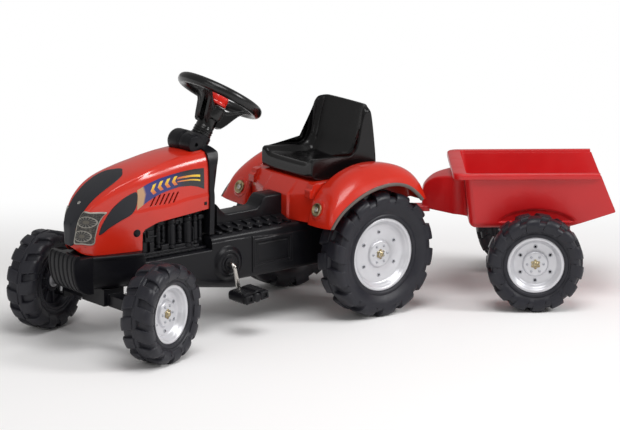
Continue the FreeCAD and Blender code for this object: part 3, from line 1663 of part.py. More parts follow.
drawbar_top = S.drawbar_low + S.drawbar_thick
jaw_low = S.drawbar_low - S.seat_gap - S.hitch_plate
jaw_top = drawbar_top + S.seat_gap
jaw_rear = S.hitch_behind + S.hitch_half - S.overrun / 2
jaw_bits = [block(
    "jaw_back",
    (-S.frame_tail - S.hitch_plate, -S.hitch_half, jaw_low),
    S.hitch_plate,
    S.hitch_half * 2,
    jaw_top + S.hitch_plate - jaw_low,
)]
for low in (jaw_low, jaw_top):
    jaw_bits.append(block(
        "jaw_plate",
        (-jaw_rear, -S.hitch_half, low),
        jaw_rear - S.frame_tail,
        S.hitch_half * 2,
        S.hitch_plate,
    ))
jaw_bore = cylinder(
    "jaw_bore",
    S.hitch_pin_radius + S.running_clearance,
    S.overrun * 4,
    (-S.hitch_behind, zero, jaw_low - S.overrun),
    "Z",
)
node(removed("jaw_bracket", fused("jaw_solid", jaw_bits), [jaw_bore]), "hitch_jaw")
node(fused("hitch_pin_solid", [
    cylinder(
        "hitch_pin_shank",
        S.hitch_pin_radius,
        jaw_top + S.hitch_plate - jaw_low + S.hitch_plate,
        (-S.hitch_behind, zero, jaw_low - S.hitch_plate),
        "Z",
    ),
    cylinder(
        "hitch_pin_top",
        S.hitch_pin_head_radius,
        S.hitch_pin_head,
        (-S.hitch_behind, zero, jaw_top + S.hitch_plate),
        "Z",
    ),
]), "hitch_pin")

# Trailer: in its own frame the hitch pin is at the origin and the tub lies towards -X.

trailer_base = trailer_place(0.0, 0.0, 0.0)
tub_side = wide_solid("tub_side", [
    (-S.tub_front_top, S.tub_top),
    (-S.tub_front_low, S.tub_floor),
    (-S.tub_keel_end, S.tub_floor),
    (-S.tub_tail, S.tub_tail_low),
    (-S.tub_rear_top, S.tub_top),
], (S.tub_half_top + S.overrun) * 2)
tub_room = wide_solid("tub_room", [
    (-S.tub_front_top - S.tub_wall, S.tub_top + S.tub_wall),
    (-S.tub_front_low - S.tub_wall, S.tub_floor + S.tub_wall),
    (-S.tub_keel_end, S.tub_floor + S.tub_wall),
    (-S.tub_tail - S.overrun, S.tub_tail_low + S.tub_wall * 2 + S.tub_wall),
    (-S.tub_tail - S.overrun, S.tub_top + S.tub_wall),
], (S.tub_half_top + S.overrun) * 2)


def draught(name, inset, low, high):
    # The tub's slanting side walls, as one solid along its length.
    body = doc.addObject("PartDesign::Body", name)
    slope = (S.tub_half_top - S.tub_half_low) / (S.tub_top - S.tub_floor)
    rise = (low - S.tub_floor) * slope
    climb = (high - S.tub_floor) * slope
    sketch = outline(body, "YZ_Plane", [
        (S.tub_half_low + rise - inset, low),
        (S.tub_half_top + climb - (S.tub_half_top - S.tub_half_low) - inset, high),
        (-S.tub_half_top - climb + (S.tub_half_top - S.tub_half_low) + inset, high),
        (-S.tub_half_low - rise + inset, low),
    ], name + "_outline")
    pad = body.newObject("PartDesign::Pad", name + "_pad")
    pad.Profile = sketch
    bind(pad, "Length", (S.tub_tail + S.overrun * 2) * 2)
    pad.Midplane = True
    return body


tub_outer = shared("tub_outer", tub_side, draught("tub_draught", zero, S.tub_floor, S.tub_top))
tub_inner = shared(
    "tub_inner",
    tub_room,
    draught("tub_room_draught", S.tub_wall, S.tub_floor, S.tub_top + S.tub_wall),
)
flange_low = S.tub_top - S.flange_depth
flange_outer = block(
    "flange_outer",
    (-S.tub_rear_top, -S.tub_half_top - S.flange, flange_low),
    S.tub_rear_top - S.tub_front_top + S.flange,
    (S.tub_half_top + S.flange) * 2,
    S.flange_depth,
)
tub_shell = removed("tub_shell", fused("tub_with_flange", [tub_outer, flange_outer]), [tub_inner])
tub_shell.Placement = trailer_base
node(tub_shell, "tub")

nose_tall = S.nose_top - S.nose_low
nose_shares = [(0.0, 0.36), (0.08, 0.6), (0.28, 0.85), (0.52, 0.98)]
nose_side = wide_solid("drawbar_side", [
    (-S.tub_front_low + S.seat_gap, S.nose_rear_low),
    (-S.nose_front - S.drawbar_thick, S.nose_low),
    (S.drawbar_eye, S.drawbar_low),
    (S.drawbar_eye, drawbar_top),
    (-S.nose_front, drawbar_top),
] + [
    (-S.nose_front - nose_tall * a, S.nose_low + nose_tall * b) for a, b in nose_shares
] + [
    (-S.tub_front_top + S.seat_gap, S.nose_top),
], S.nose_half * 2)
nose_plan = plan_solid("drawbar_plan", [
    (-S.tub_front_low - S.overrun, -S.nose_half),
    (-S.nose_front, -S.nose_front_half),
    (-S.nose_front + S.drawbar_eye, -S.drawbar_eye),
    (S.drawbar_eye * 0.4, -S.drawbar_eye),
    (S.drawbar_eye, -S.drawbar_eye * 0.4),
    (S.drawbar_eye, S.drawbar_eye * 0.4),
    (S.drawbar_eye * 0.4, S.drawbar_eye),
    (-S.nose_front + S.drawbar_eye, S.drawbar_eye),
    (-S.nose_front, S.nose_front_half),
    (-S.tub_front_low - S.overrun, S.nose_half),
], zero, S.tub_top)
nose_trim = wide_solid("drawbar_trim", [
    (-S.tub_front_top + S.seat_gap, S.tub_top),
    (-S.tub_front_low + S.seat_gap, S.tub_floor),
    (-S.tub_front_low - S.overrun, S.tub_floor),
    (-S.tub_front_low - S.overrun, S.tub_top),
], S.nose_half * 4)
eye_bore = cylinder(
    "drawbar_eye_bore",
    S.hitch_pin_radius + S.running_clearance,
    S.tub_top,
    (zero, zero, zero),
    "Z",
)
drawbar = removed("drawbar_moulding", shared("drawbar_solid", nose_side, nose_plan), [eye_bore, nose_trim])
drawbar.Placement = trailer_base
node(drawbar, "drawbar")

carrier_bore = cylinder(
    "carrier_bore",
    S.wheel_axle_radius + S.running_clearance,
    S.carrier_half_y * 2 + S.overrun * 2,
    (-S.trailer_axle_behind, -S.carrier_half_y - S.overrun, axle_z),
)
carrier = removed("carrier_block", block(
    "carrier_solid",
    (-S.trailer_axle_behind - S.carrier_half_x, -S.carrier_half_y, S.carrier_low),
    S.carrier_half_x * 2,
    S.carrier_half_y * 2,
    S.tub_floor - S.carrier_low,
), [carrier_bore])
carrier.Placement = trailer_base
node(carrier, "axle_carrier")
cart_axle_half = S.trailer_track / 2 + S.front_boss_out + S.seat_gap + S.cap_depth
cart_axle = cylinder("trailer_axle_rod", S.wheel_axle_radius, cart_axle_half * 2, (zero, -cart_axle_half, zero))
cart_axle_spot = trailer_base.multiply(FreeCAD.Placement(
    V(-num("trailer_axle_behind"), 0, num("front_tyre_radius")), FreeCAD.Rotation()
))
cart_axle_group = group("trailer_axle_turned", [cart_axle])
cart_axle_group.Placement = cart_axle_spot
node(cart_axle_group, "trailer_axle")

doc.recompute()

# Nothing is written unless every object is sound.

for obj in doc.Objects:
    if "Invalid" in obj.State or "Error" in obj.State:
        raise RuntimeError("%s failed: %s" % (obj.Label, obj.State))
for obj in nodes:
    if obj.Shape.isNull() or not obj.Shape.isValid() or not obj.Shape.Solids:
        raise RuntimeError("%s has no valid solid" % obj.Label)
os.makedirs("parts", exist_ok=True)
for obj in nodes:
    obj.Shape.exportStep(os.path.join("parts", obj.Label + ".step"))
print("wrote %d nodes" % len(nodes))
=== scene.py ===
import json
import math
from bisect import bisect_left
import bmesh
import bpy
from mathutils import Matrix, Vector
from mathutils.bvhtree import BVHTree


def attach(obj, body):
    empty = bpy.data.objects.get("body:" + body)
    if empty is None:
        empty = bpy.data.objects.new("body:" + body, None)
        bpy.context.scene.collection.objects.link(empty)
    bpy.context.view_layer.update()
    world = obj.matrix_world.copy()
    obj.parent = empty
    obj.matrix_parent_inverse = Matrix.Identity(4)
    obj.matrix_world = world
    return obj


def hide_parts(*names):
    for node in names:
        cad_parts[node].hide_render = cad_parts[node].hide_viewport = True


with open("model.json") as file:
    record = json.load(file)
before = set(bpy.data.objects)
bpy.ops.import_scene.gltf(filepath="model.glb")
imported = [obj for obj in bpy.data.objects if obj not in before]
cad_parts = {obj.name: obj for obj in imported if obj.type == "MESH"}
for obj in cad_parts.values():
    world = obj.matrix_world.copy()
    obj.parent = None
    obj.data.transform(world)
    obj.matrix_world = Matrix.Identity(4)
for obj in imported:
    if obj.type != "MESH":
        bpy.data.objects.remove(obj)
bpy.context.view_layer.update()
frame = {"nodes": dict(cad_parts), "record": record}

# ride-on pedal tractor with its trailer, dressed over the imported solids
# metres, +X to the tractor's front, +Y to its left, +Z up

nodes = frame["nodes"]
scene = bpy.context.scene
sides = (("left", 1), ("right", -1))
print("frame loaded, nodes:", len(nodes))


class Wire:
    # a shader socket that can be added, multiplied and compared like a number
    def __init__(self, tree, socket=None):
        self.tree = tree
        self.socket = socket

    def add(self, kind, settings=None, inputs=None, out=0):
        made = self.tree.nodes.new("ShaderNode" + kind)
        for key, value in (settings or {}).items():
            setattr(made, key, value)
        for key, value in (inputs or {}).items():
            if isinstance(value, Wire):
                self.tree.links.new(value.socket, made.inputs[key])
            else:
                made.inputs[key].default_value = value
        return Wire(self.tree, made.outputs[out]) if len(made.outputs) else None

    def other(self, out):
        return Wire(self.tree, self.socket.node.outputs[out])

    def math(self, operation, *values):
        return self.add("Math", {"operation": operation}, dict(enumerate(values)))

    def size(self):
        return self.math("ABSOLUTE", self)

    def ramp(self, low, high):
        # 0 below low, 1 above high, smooth between
        return self.add("MapRange", {"interpolation_type": "SMOOTHSTEP"},
                        {"Value": self, "From Min": low, "From Max": high})

    def blend(self, factor, a, b):
        return self.add("Mix", {"data_type": "RGBA"}, {0: factor, 6: a, 7: b}, out=2)

    def split(self, vector):
        first = self.add("SeparateXYZ", None, {"Vector": vector})
        return [first.other(k) for k in range(3)]

    def place(self):
        return self.add("TexCoord", out="Object")

    def noise(self, at, scale, detail=2.0, rough=0.5):
        return self.add("TexNoise", None,
                        {"Vector": at, "Scale": scale, "Detail": detail, "Roughness": rough})

    def bump(self, strength, distance, height, **more):
        return self.add("Bump", None,
                        {"Strength": strength, "Distance": distance, "Height": height, **more})

    def softEdge(self, radius):
        return self.add("Bevel", {"samples": 4}, {"Radius": radius})

    def surface(self, inputs):
        return self.add("BsdfPrincipled", None, inputs, out="BSDF")

    def __radd__(self, other):
        return self + other


operations = {"add": "ADD", "sub": "SUBTRACT", "mul": "MULTIPLY", "truediv": "DIVIDE", "gt": "GREATER_THAN",
              "lt": "LESS_THAN"}
for sign, operation in operations.items():
    setattr(Wire, "__" + sign + "__", lambda a, b, kind=operation: a.math(kind, a, b))


def srgb(r, g, b):
    # photograph values 0..255 to the linear values that Blender uses
    out = []
    for c in (r, g, b):
        c = c / 255.0
        out.append(c / 12.92 if c <= 0.04045 else ((c + 0.055) / 1.055) ** 2.4)
    return (*out, 1)


def shade(c, by):
    return (c[0] * by, c[1] * by, c[2] * by, 1)


def finishOf(name, paint):
    made = bpy.data.materials.new(name)
    made.use_nodes = True
    made.node_tree.nodes.clear()
    w = Wire(made.node_tree)
    w.add("OutputMaterial", None, {"Surface": paint(w)})
    return made


def wear(obj, material):
    obj.data.materials.clear()
    obj.data.materials.append(material)


def moulded(name, row):
    # injection moulded plastic: tone drift, fine pitted skin, softened edges, faint handling haze
    look = dict(zip(plasticKeys, row))
    colour = srgb(*look["colour"])

    def paint(w):
        at = w.place()
        cloud = w.noise(at, look["cloud"], 3)
        skin = w.noise(at, look["grain"])
        haze = w.noise(at, 22, 4, 0.6).ramp(0.42, 0.7)
        tone = w.blend(cloud.ramp(0.3, 0.7), shade(colour, 0.93), shade(colour, 1.06))
        return w.surface({
            "Base Color": w.blend(haze * look["dust"], tone, srgb(*look["dustColour"])),
            "Roughness": look["rough"] + haze * look["hazeRough"], "Metallic": look["metal"],
            "Normal": w.bump(look["bump"], 0.0004, skin, Normal=w.softEdge(look["edge"])),
            "Coat Weight": look["coat"], "Coat Roughness": 0.08, "IOR": 1.5,
            "Specular IOR Level": look["shine"]})
    return finishOf(name, paint)


plasticKeys = ("colour", "dustColour", "cloud",
               "grain", "rough", "hazeRough", "bump", "coat", "dust", "edge", "shine", "metal")
plasticLooks = {
    "shellRed": ((196, 38, 20), (212, 84, 66), 7, 700, 0.2, 0.05, 0.04, 0.2, 0.03, 0.0018, 0.5, 0),
    "trailerRed": ((202, 24, 28), (205, 62, 58), 6, 700, 0.32, 0.08, 0.06, 0.15, 0.03, 0.002, 0.5, 0),
    "frameBlack": ((15, 15, 19), (42, 41, 44), 9, 1100, 0.33, 0.1, 0.16, 0, 0.1, 0.0016, 0.24, 0),
    "wheelBlack": ((13, 13, 14), (38, 37, 37), 9, 900, 0.24, 0.1, 0.1, 0.1, 0.06, 0.0014, 0.4, 0),
    "seatBlack": ((12, 11, 12), (30, 29, 29), 8, 800, 0.2, 0.06, 0.05, 0.1, 0.04, 0.002, 0.26, 0),
    "inlayDark": ((36, 37, 42), (58, 58, 62), 9, 1400, 0.4, 0.08, 0.2, 0, 0.08, 0.0006, 0.3, 0),
    "trimGrey": ((92, 82, 77), (120, 112, 106), 9, 900, 0.5, 0.1, 0.15, 0, 0.1, 0.001, 0.5, 0),
    "hornRed": ((216, 34, 22), (225, 90, 80), 14, 900, 0.24, 0.06, 0.05, 0.3, 0.04, 0.0012, 0.5, 0),
    "tyreDark": ((33, 33, 40), (58, 58, 62), 11, 1000, 0.38, 0.12, 0.2, 0, 0.14, 0.0018, 0.35, 0),
    "rimLight": ((212, 212, 216), (186, 186,
                                   188), 13, 900, 0.3, 0.08, 0.06, 0.3, 0.1, 0.001, 0.5, 0.45),
    "rimTrim": ((176, 178, 184), (140, 140, 144), 13, 900, 0.34, 0.1, 0.06, 0.1, 0.1, 0.0004, 0.5, 0),
    "bushGrey": ((58, 58, 62), (90, 88, 88), 13, 900, 0.45, 0.1, 0.12, 0, 0.1, 0.0006, 0.5, 0),
}


def plated(name, row):
    # zinc or nickel plate over steel: drawn streaks, small pits, patchy tarnish
    look = dict(zip(metalKeys, row))

    def paint(w):
        at = w.place()
        streak = w.noise(w.add("Mapping", None, {"Vector": at, "Scale": look["streak"]}), 60, 3)
        spots = w.noise(at, 160, 3, 0.7).ramp(0.55, 0.75)
        tone = w.blend(streak.ramp(0.3, 0.7), srgb(*look["colour"]), srgb(*look["bright"]))
        return w.surface({
            "Base Color": w.blend(spots * look["tarnish"], tone, srgb(*look["stain"])),
            "Metallic": 1.0, "Roughness": look["rough"] + spots * 0.18,
            "Normal": w.bump(0.08, 0.0003, streak, Normal=w.softEdge(0.0007))})
    return finishOf(name, paint)


metalKeys = ("colour", "bright", "stain", "tarnish", "rough", "streak")
metalLooks = {
    "brightSteel": ((188, 184, 178), (226, 224, 220), (120, 112, 104), 0.35, 0.18, (1, 1, 0.2)),
    "plateSteel": ((140, 140, 142), (176, 176, 178), (96, 92, 88), 0.45, 0.34, (0.3, 1, 1)),
    "capZinc": ((150, 132, 96), (190, 176, 142), (92, 78, 54), 0.5, 0.3, (1, 1, 1)),
}
finishes = {name: moulded(name, row) for name, row in plasticLooks.items()}
finishes.update({name: plated(name, row) for name, row in metalLooks.items()})
print("finishes:", len(finishes))

# slots whose finish has another name than their own
otherFinish = {"lamp_silver": "plateSteel", "cap_brass": "capZinc", "chain_black": "frameBlack"}


def slotFinish(slot):
    first, second = slot.split("_")
    return finishes[otherFinish.get(slot, first + second.title())]


for part in frame["record"]["subparts"]:
    wear(nodes[part["node"]], slotFinish(part["material_slot"]))
wear(nodes["steering_wheel"], finishes["wheelBlack"])
for name in ("bonnet_screws", "bonnet_plugs", "pedal_caps", "crank_bushes"):
    wear(nodes[name], finishes["frameBlack"])
print("solids dressed")


def mm(value):
    # a table of millimetres, of any depth, in metres
    return [mm(v) for v in value] if isinstance(value, (list, tuple)) else value / 1000.0


# the bonnet's side sticker: a made-up design of arrows and stripes, tan at its front, then blue to black
sticker = {
    "tan": srgb(186, 146, 108), "blue": srgb(40, 44, 112), "black": srgb(30, 31, 34),
    "yellow": srgb(232, 196, 52), "orange": srgb(206, 104, 52), "rear": 0.3835, "front": 0.5535,
    "arrowsFrom": 0.44, "arrowsTo": 0.86, "arrowBeat": 9.5, "arrowShare": 0.46, "arrowHalf": 0.3,
    "slant": 0.13, "stripeFrom": 0.06, "stripeTo": 0.42, "endSlant": 0.06, "endAt": 0.9, "lift": 0.0004,
    # middle and half height of each stripe
    "stripes": ((0.62, 0.06), (0.38, 0.04)),
    "top": mm([(384, 357), (410, 358), (439, 357), (469, 354), (498, 350), (527, 343), (553.5, 333.5)]),
    "low": mm([(384, 312.5), (400, 319.5), (418, 324), (447, 326), (469, 323), (491, 319), (509, 313.5),
               (527, 306), (542, 298), (553.5, 291)]),
}


def stickerPaint(w):
    at = w.place()
    u, v = w.split(w.add("TexCoord", out="UV"))[:2]
    off = (v - 0.5).size()
    ground = w.blend(u.ramp(0.25, 0.6), sticker["black"], sticker["blue"])
    # four arrows that point to the front
    run = u + off * sticker["slant"]
    beat = w.math("FRACT", (run - sticker["arrowsFrom"]) * sticker["arrowBeat"])
    arrows = (beat < sticker["arrowShare"]) * (run > sticker["arrowsFrom"]) * (run < sticker["arrowsTo"])
    arrows = arrows * (off < sticker["arrowHalf"])
    arrowed = w.blend(arrows, ground, w.blend(v.ramp(0.25, 0.8), sticker["orange"], sticker["yellow"]))
    # two long stripes behind them
    upper, lower = [(v - middle).size() < half for middle, half in sticker["stripes"]]
    stripes = (upper + lower) * (u > sticker["stripeFrom"]) * (run < sticker["stripeTo"])
    fading = w.blend(u.ramp(0.05, 0.4), sticker["yellow"], sticker["orange"])
    striped = w.blend(w.math("MINIMUM", stripes, 1), arrowed, fading)
    end = (u - off * sticker["endSlant"]).ramp(sticker["arrowsTo"], sticker["endAt"])
    ended = w.blend(end, striped, sticker["tan"])
    rub = w.noise(at, 420, 3, 0.7).ramp(0.66, 0.8)
    return w.surface({"Base Color": w.blend(rub * 0.2, ended, sticker["tan"]),
                      "Roughness": 0.26 + rub * 0.2,
                      "Coat Weight": 0.2, "Normal": w.bump(0.05, 0.0003, w.noise(at, 500))})


# the lamp panels: a made-up print of two rayed reflectors, one over the other, inside a pale border
lampLook = {"centres": ((0.0345, 0.2765), (0.0275, 0.2465)), "radius": 0.0125, "narrow": 1.15, "rays": 14.0,
            "bulb": 0.34, "rimFrom": 0.88, "ground": srgb(27, 26, 25), "silver": srgb(122, 119, 112),
            "bronze": srgb(84, 79, 71), "rim": srgb(140, 136, 128), "border": srgb(158, 155, 146),
            "borderFrom": 0.915}


def lampPaint(w):
    at = w.place()
    y, z = w.split(at)[1:]
    share = w.split(w.add("TexCoord", out="UV"))[0]
    cells = w.add("TexVoronoi", {"feature": "DISTANCE_TO_EDGE"}, {"Vector": at, "Scale": 210.0},
                  out="Distance")
    shown = w.blend(cells.ramp(0.02, 0.08), lampLook["bronze"], lampLook["ground"])
    for cy, cz in lampLook["centres"]:
        dy, dz = (y.size() - cy) * lampLook["narrow"], z - cz
        far = w.math("SQRT", dy * dy + dz * dz) / lampLook["radius"]
        rays = w.math("SINE", w.math("ARCTAN2", dz, dy) * lampLook["rays"]).ramp(-0.2, 0.9)
        inside = w.blend(rays * far, lampLook["ground"], lampLook["silver"])
        bulb = w.blend(far < lampLook["bulb"], inside, lampLook["bronze"])
        shown = w.blend(far < lampLook["rimFrom"], shown, bulb)
        shown = w.blend((far > lampLook["rimFrom"]) * (far < 1.0), shown, lampLook["rim"])
    shown = w.blend(share > lampLook["borderFrom"], shown, lampLook["border"])
    return w.surface({"Base Color": shown, "Metallic": 0.4, "Roughness": 0.3, "Coat Weight": 0.4,
                      "Normal": w.bump(0.3, 0.0005, cells)})


stickerFinish = finishOf("sticker", stickerPaint)
lampFinish = finishOf("lampPrint", lampPaint)


def lerp(a, b, t):
    return a + (b - a) * t


def shares(count):
    return [k / count for k in range(count + 1)]


def circle(count):
    return [2 * math.pi * k / count for k in range(count)]


def rounded(x, y, radius, angles):
    # points of a round corner about its centre, angles in degrees
    return [(x + radius * math.cos(a), y + radius * math.sin(a)) for a in map(math.radians, angles)]


# mesh helpers; a part is a pair of lists, its points and its faces
def meshOf(name, part):
    mesh = bpy.data.meshes.new(name)
    mesh.from_pydata([tuple(v) for v in part[0]], [], part[1])
    work = bmesh.new()
    work.from_mesh(mesh)
    bmesh.ops.remove_doubles(work, verts=work.verts, dist=1e-6)
    bmesh.ops.recalc_face_normals(work, faces=work.faces)
    work.to_mesh(mesh)
    work.free()
    return mesh


def show(name, made, slot, stands=(), body="tractor", sharp=40.0, at=None, finish=None):
    # a visible piece from a mesh or a part, riding one body and standing for the named nodes
    mesh = made if isinstance(made, bpy.types.Mesh) else meshOf(name, made)
    obj = bpy.data.objects.new(name, mesh)
    scene.collection.objects.link(obj)
    if at is not None:
        obj.matrix_world = at
    if not mesh.materials:
        mesh.materials.append(finish or slotFinish(slot))
    mesh.shade_smooth()
    mesh.set_sharp_from_angle(angle=math.radians(sharp))
    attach(obj, body)
    if stands:
        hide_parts(*stands)


def printed(mesh, spots):
    # a layer that gives each corner the print place of its vertex
    layer = mesh.uv_layers.new(name="print")
    for loop in mesh.loops:
        layer.data[loop.index].uv = spots[loop.vertex_index]
    return mesh


def joined(parts):
    verts, faces = [], []
    for v, f in parts:
        base = len(verts)
        verts += list(v)
        faces += [tuple(i + base for i in face) for face in f]
    return verts, faces


def turned(profile, steps, closed=True):
    # (radius, y) points revolved about Y
    count = len(profile)
    verts = [(r * math.sin(a), y, r * math.cos(a)) for a in circle(steps) for r, y in profile]
    faces = []
    for i in range(steps):
        j = (i + 1) % steps
        for k in range(count if closed else count - 1):
            m = (k + 1) % count
            faces.append((i * count + k, i * count + m, j * count + m, j * count + k))
    return verts, faces


def upTurned(profile, steps):
    # (radius, height) points revolved about Z
    verts, faces = turned(profile, steps)
    return [(x, z, y) for x, y, z in verts], faces


def ribbon(rings, loop=True, caps=(True, True)):
    # a skin through rings of equal length, with a face over the first and the last where asked
    count = len(rings[0])
    verts = [p for ring in rings for p in ring]
    faces = []
    for i in range(len(rings) - 1):
        for k in range(count if loop else count - 1):
            m = (k + 1) % count
            faces.append((i * count + k, i * count + m, (i + 1) * count + m, (i + 1) * count + k))
    for wanted, start in zip(caps, (0, (len(rings) - 1) * count)):
        if wanted:
            faces.append(tuple(start + k for k in range(count)))
    return verts, faces


bare = (False, False)


def offset(x, y, table):
    # a line in millimetres, set off from a point
    return [(x + a, y + b) for a, b in mm(table)]


def swept(path, radius, up, steps):
    # a round rod along a path that lies in the plane square to up
    rings = []
    for k, p in enumerate(path):
        run = (path[min(k + 1, len(path) - 1)] - path[max(k - 1, 0)]).normalized()
        across = up.cross(run)
        rings.append([tuple(p + (across * math.cos(t) + up * math.sin(t)) * radius) for t in circle(steps)])
    return ribbon(rings)


def moved(part, matrix):
    return [tuple(matrix @ Vector(v)) for v in part[0]], part[1]


def around(degrees, axis="Z"):
    return Matrix.Rotation(math.radians(degrees), 4, axis)


def shift(x, y, z):
    return Matrix.Translation((x, y, z))


def mirror(side):
    return Matrix.Diagonal((1, side, 1, 1))


def modified(name, mesh, kind, **settings):
    # the mesh after one modifier
    body = bpy.data.objects.new(name + "Raw", mesh)
    scene.collection.objects.link(body)
    change = body.modifiers.new(name, kind)
    for key, value in settings.items():
        setattr(change, key, value)
    bpy.context.view_layer.update()
    result = bpy.data.meshes.new_from_object(body.evaluated_get(bpy.context.evaluated_depsgraph_get()))
    bpy.data.objects.remove(body)
    return result


def cutBy(name, mesh, cutter):
    # mesh minus cutter, both closed
    tool = bpy.data.objects.new(name + "Tool", cutter)
    scene.collection.objects.link(tool)
    result = modified(name, mesh, "BOOLEAN", operation="DIFFERENCE", solver="EXACT", object=tool)
    bpy.data.objects.remove(tool)
    return result


def thickened(name, mesh, wall, toward=-1.0):
    return modified(name, mesh, "SOLIDIFY", thickness=wall, offset=toward, use_quality_normals=True)



def smooth(low, high, v):
    t = min(max((v - low) / (high - low), 0), 1)
    return t * t * (3 - 2 * t)


def table(pairs, x):
    # straight lines through (x, value) pairs, flat past the ends
    if x <= pairs[0][0]:
        return pairs[0][1]
    for (a, va), (b, vb) in zip(pairs, pairs[1:]):
        if x <= b:
            return va + (vb - va) * (x - a) / (b - a)
    return pairs[-1][1]


def curveThrough(places, values, at):
    # smooth curve through a table
    i = 0
    while i < len(places) - 2 and at > places[i + 1]:
        i += 1

    def slope(k):
        low, high = max(k - 1, 0), min(k + 1, len(places) - 1)
        return (values[high] - values[low]) / (places[high] - places[low])

    rise = places[i + 1] - places[i]
    f = (at - places[i]) / rise
    return (values[i] * (1 + 2 * f) * (1 - f) ** 2 + values[i + 1] * f * f * (3 - 2 * f)
            + rise * slope(i) * f * (1 - f) ** 2 - rise * slope(i + 1) * f * f * (1 - f))


def poled(poles, t):
    # clamped cubic curve, t from 0 to 1
    spans = len(poles) - 3
    knots = [0] * 4 + [float(k) for k in range(1, spans)] + [float(spans)] * 4
    t = min(max(t, 0), 1) * spans
    k = min(int(t), spans - 1) + 3
    row = [Vector(poles[j]) for j in range(k - 3, k + 1)]
    for r in range(1, 4):
        for j in range(3, r - 1, -1):
            low = knots[j + k - 3]
            span = knots[j + 1 + k - r] - low
            f = (t - low) / span if span else 0.0
            row[j] = row[j - 1] * (1 - f) + row[j] * f
    return row[3]


def prism(points, *places):
    # an outline in X and Z made solid across Y
    return ribbon([[(x, y, z) for x, z in points] for y in places])


def slab(x0, x1, z0, z1, y0, y1, soft=0.0012):
    # a block with its outer face chamfered
    def ring(y, inset):
        a, b, c, d = x0 + inset, x1 - inset, z0 + inset, z1 - inset
        return [(a, y, c), (b, y, c), (b, y, d), (a, y, d)]
    return ribbon([ring(y0, 0), ring(y1 - soft, 0), ring(y1, soft)])


# wheels: a chunky farm tyre on a dished disc, made once for each size with the axle along Y
wheelSizes = {
    "small": {"tyre": 0.104, "width": 0.070, "rim": 0.0615, "lip": 0.026, "dish": 0.009,
              "dishRadius": 0.047,
              "boss": 0.027, "bossOut": 0.016, "lug": 0.008, "bore": 0.006, "hubBack": 0.020},
    "big": {"tyre": 0.135, "width": 0.074, "rim": 0.079, "lip": 0.026, "dish": 0.011, "dishRadius": 0.065,
            "boss": 0.029, "bossOut": 0.017, "lug": 0.009, "bore": 0.007, "hubBack": 0.027},
}
tread = {
    "lugs": 14, "share": 0.6, "sideShare": 0.66, "slant": 0.013, "chamfer": 0.0014, "inner": 0.0036,
    "ease": 0.0003,
    "bead": [(0, 26.5), (1.4, 28.4), (3.4, 29.7), (6.2, 30), (8, 29.2), (9.2, 28.4), (10.8, 29),
             (13, 30.6)],
    "wall": [(0.5, 0.97), (0.62, 0.995), (0.72, 1), (0.82, 0.975), (0.91, 0.91), (0.975, 0.8), (1, 0.66),
             (1, 0.3)],
    "seam": [(0, 0.0068), (0.7, 0.0052), (0.8, 0.0042)], "gap": 0.0001,
    # along one lug: drop of its top in mm and share of the half width, then the same of its foot
    "spine": [(0, 0.34, 1, 0.34), (0, 0.64, 1, 0.6), (1.2, 0.8, 4, 0.72), (4.6, 0.935, 8, 0.82),
              (9.8, 1.012, 13, 0.88), (16.5, 1.03, 18, 0.92), (19.5, 1.005, 21.5, 0.93)],
}


def tyreParts(size):
    bore, top = size["rim"] + tread["gap"], size["tyre"]
    floorR = top - size["lug"]
    half = size["width"] / 2
    outer = offset(bore, 0, tread["bead"])
    outer += [(lerp(bore, floorR, a), half * b) for a, b in tread["wall"]]
    outer += [(floorR + size["lug"] * a, y) for a, y in tread["seam"]]
    parts = [turned(outer + [(r, -y) for r, y in reversed(outer)], 112)]
    spine = [(top, tread["inner"], floorR - mm(1), tread["inner"])]
    spine += [(top - mm(a), half * b, floorR - mm(c), half * d) for a, b, c, d in tread["spine"]]
    pitch = 2 * math.pi / tread["lugs"]
    for facing, start in ((1, 0), (-1, 0.5)):
        for k in range(tread["lugs"]):
            rings = []
            for n, (tr, ty, fr, fy) in enumerate(spine):
                t = n / (len(spine) - 1)
                wide = pitch * lerp(tread["share"], tread["sideShare"], t) / 2
                edge = tread["chamfer"] / tr
                centre = pitch * (k + start) + tread["slant"] / top * t
                flank = [(fr, fy, wide + edge), (tr - tread["chamfer"], ty, wide),
                         (tr, ty - tread["ease"], wide - 1.3 * edge), (tr, ty, wide * 0.3)]
                ring = [(r, y, -a) for r, y, a in flank] + flank[::-1]
                rings.append([(r * math.sin(centre + a), y * facing, r * math.cos(centre + a))
                              for r, y, a in ring])
            parts.append(ribbon(rings))
    return joined(parts)


disc = {"gap": 0.00005, "drillRun": (-0.03, 0.05), "boltShare": 0.66,
        "brim": 0.0062, "back": -0.027, "thick": 0.004, "hub": 0.015, "drill": 0.0026,
        "boss": [(-4, 0), (-1.6, -0.5), (-0.4, -1.8)], "foot": [(0.4, 2.2), (1.4, 0.6), (3.4, 0)],
        "bend": [(-3.6, 0), (-1.2, 0.6), (0.6, 2.2)], "slope": [(0.32, 0.5), (0.5, 0.58), (0.62, 0.62)],
        "edge": [(-1.6, -2.2), (-0.2, -0.6), (1.2, 0)], "outside": [(-1.4, 0), (-0.2, -0.8), (0, -2.2)],
        "collar": mm([(2.7, 0), (2.7, 1.1), (3.2, 1.5), (4, 1.3), (4.6, 0)]),
        "bolt": mm([(0, 2.6), (1.2, 2.5), (2.4, 1.9), (3.1, 0.8), (3.3, 0)])}


def holeRing(size):
    return (size["boss"] + size["dishRadius"]) / 2


